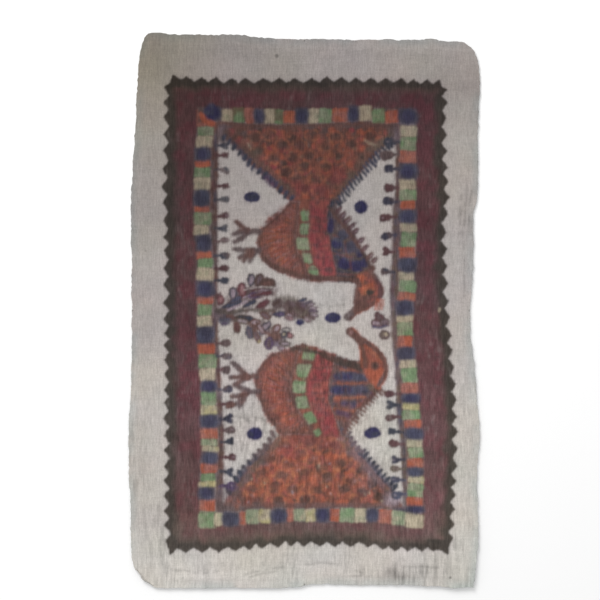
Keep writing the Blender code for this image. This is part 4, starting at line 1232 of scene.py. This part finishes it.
def build_cloth(heights, colours):
    """The cloth with its edges turned under."""
    rim = rim_numbers()
    rings = fold_rings(rim, heights[rim])
    points = np.vstack([np.column_stack([X, Y, heights])] + rings)
    faces = [grid_faces(ROWS, COLUMNS)]
    before = rim
    for k in range(len(rings)):
        after = len(X) + k * len(rim) + np.arange(len(rim))
        faces.append(np.stack([before, after, np.roll(after, -1), np.roll(before, -1)], axis=-1))
        before = after
    shades = np.vstack([colours] + [colours[rim]] * len(rings))
    cloth = add_mesh("cloth", points, np.vstack(faces), shades)
    cloth.data.materials.append(cloth_material("bare_cloth", 0.93))
    cloth.data.materials.append(cloth_material("cloth_back", 0.95, show_through=0.18))
    shell = cloth.modifiers.new("thickness", "SOLIDIFY")
    shell.thickness = CLOTH_THICKNESS * 0.9 * MM
    shell.offset = -1
    shell.material_offset = 1
    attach(cloth, ROOT)
    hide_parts("ground_cloth", "hem_left", "hem_right", "hem_top", "hem_bottom")
    return cloth


def build_skins(heights, colours):
    """One thin skin of paint for each coat, from the cells of the grid that it covers."""
    faces = grid_faces(ROWS, COLUMNS)
    corner_cover = cover[faces]
    strongest = np.argmax(np.where(owner[faces] >= 0, corner_cover, -1), axis=1)
    cell_owner = owner[faces][np.arange(len(faces)), strongest]
    cell_owner[corner_cover.max(1) < SHOWN_COVER] = -1
    lifted = heights + PAINT_GAP + PAINT_LIFT * cover
    for number, coat in enumerate(COATS):
        cells = faces[cell_owner == number]
        used, renumbered = np.unique(cells, return_inverse=True)
        points = np.column_stack([X, Y, lifted])[used]
        skin = add_mesh("paint_" + coat, points, renumbered.reshape(cells.shape), colours[used])
        slot = SLOTS[coat]
        skin.data.materials.append(cloth_material("painted_" + slot, 0.84, painted_over=True))
        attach(skin, ROOT)
        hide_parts(coat)


# ---- floor, light and camera


def build_studio():
    mesh = bpy.data.meshes.new("floor")
    half = 3.0
    mesh.from_pydata([(-half, -half, 0), (half, -half, 0), (half, half, 0), (-half, half, 0)], [], [(0, 1, 2, 3)])
    mesh.materials.append(floor_material())
    floor = bpy.data.objects.new("floor", mesh)
    bpy.context.scene.collection.objects.link(floor)

    world = bpy.data.worlds.new("studio")
    world.use_nodes = True
    background = world.node_tree.nodes["Background"]
    background.inputs["Color"].default_value = (1.0, 1.0, 1.0, 1)
    background.inputs["Strength"].default_value = WORLD_STRENGTH
    bpy.context.scene.world = world
    bpy.context.scene.view_settings.view_transform = "Standard"
    bpy.context.scene.view_settings.look = "None"

    key = bpy.data.lights.new("key", "AREA")
    key.size = 0.5
    key.energy = KEY_ENERGY
    lamp = bpy.data.objects.new("key", key)
    lamp.location = KEY_PLACE
    lamp.rotation_euler = (-Vector(KEY_PLACE)).to_track_quat("-Z", "Y").to_euler()
    bpy.context.scene.collection.objects.link(lamp)


def build_camera():
    data = bpy.data.cameras.new("camera")
    data.lens = LENS
    data.sensor_width = SENSOR
    data.clip_start = 0.01
    camera = bpy.data.objects.new("camera", data)
    camera.location = (*VIEW_CENTRE, VIEW_WIDTH * LENS / SENSOR)
    bpy.context.scene.collection.objects.link(camera)
    bpy.context.scene.camera = camera


build_studio()
build_camera()
paint_everything()
let_paint_bleed()
# Paint and cloth under the painted shade and soil, then under smudges, specks and the painted shade of wrinkles and
# creases
shown = painted * painted_shade_and_soil() ** (1 + 0.2 * cover)[:, None] * dirt_and_painted_shade()[:, None]
heights = relief()
build_cloth(heights, shown)
build_skins(heights, shown)
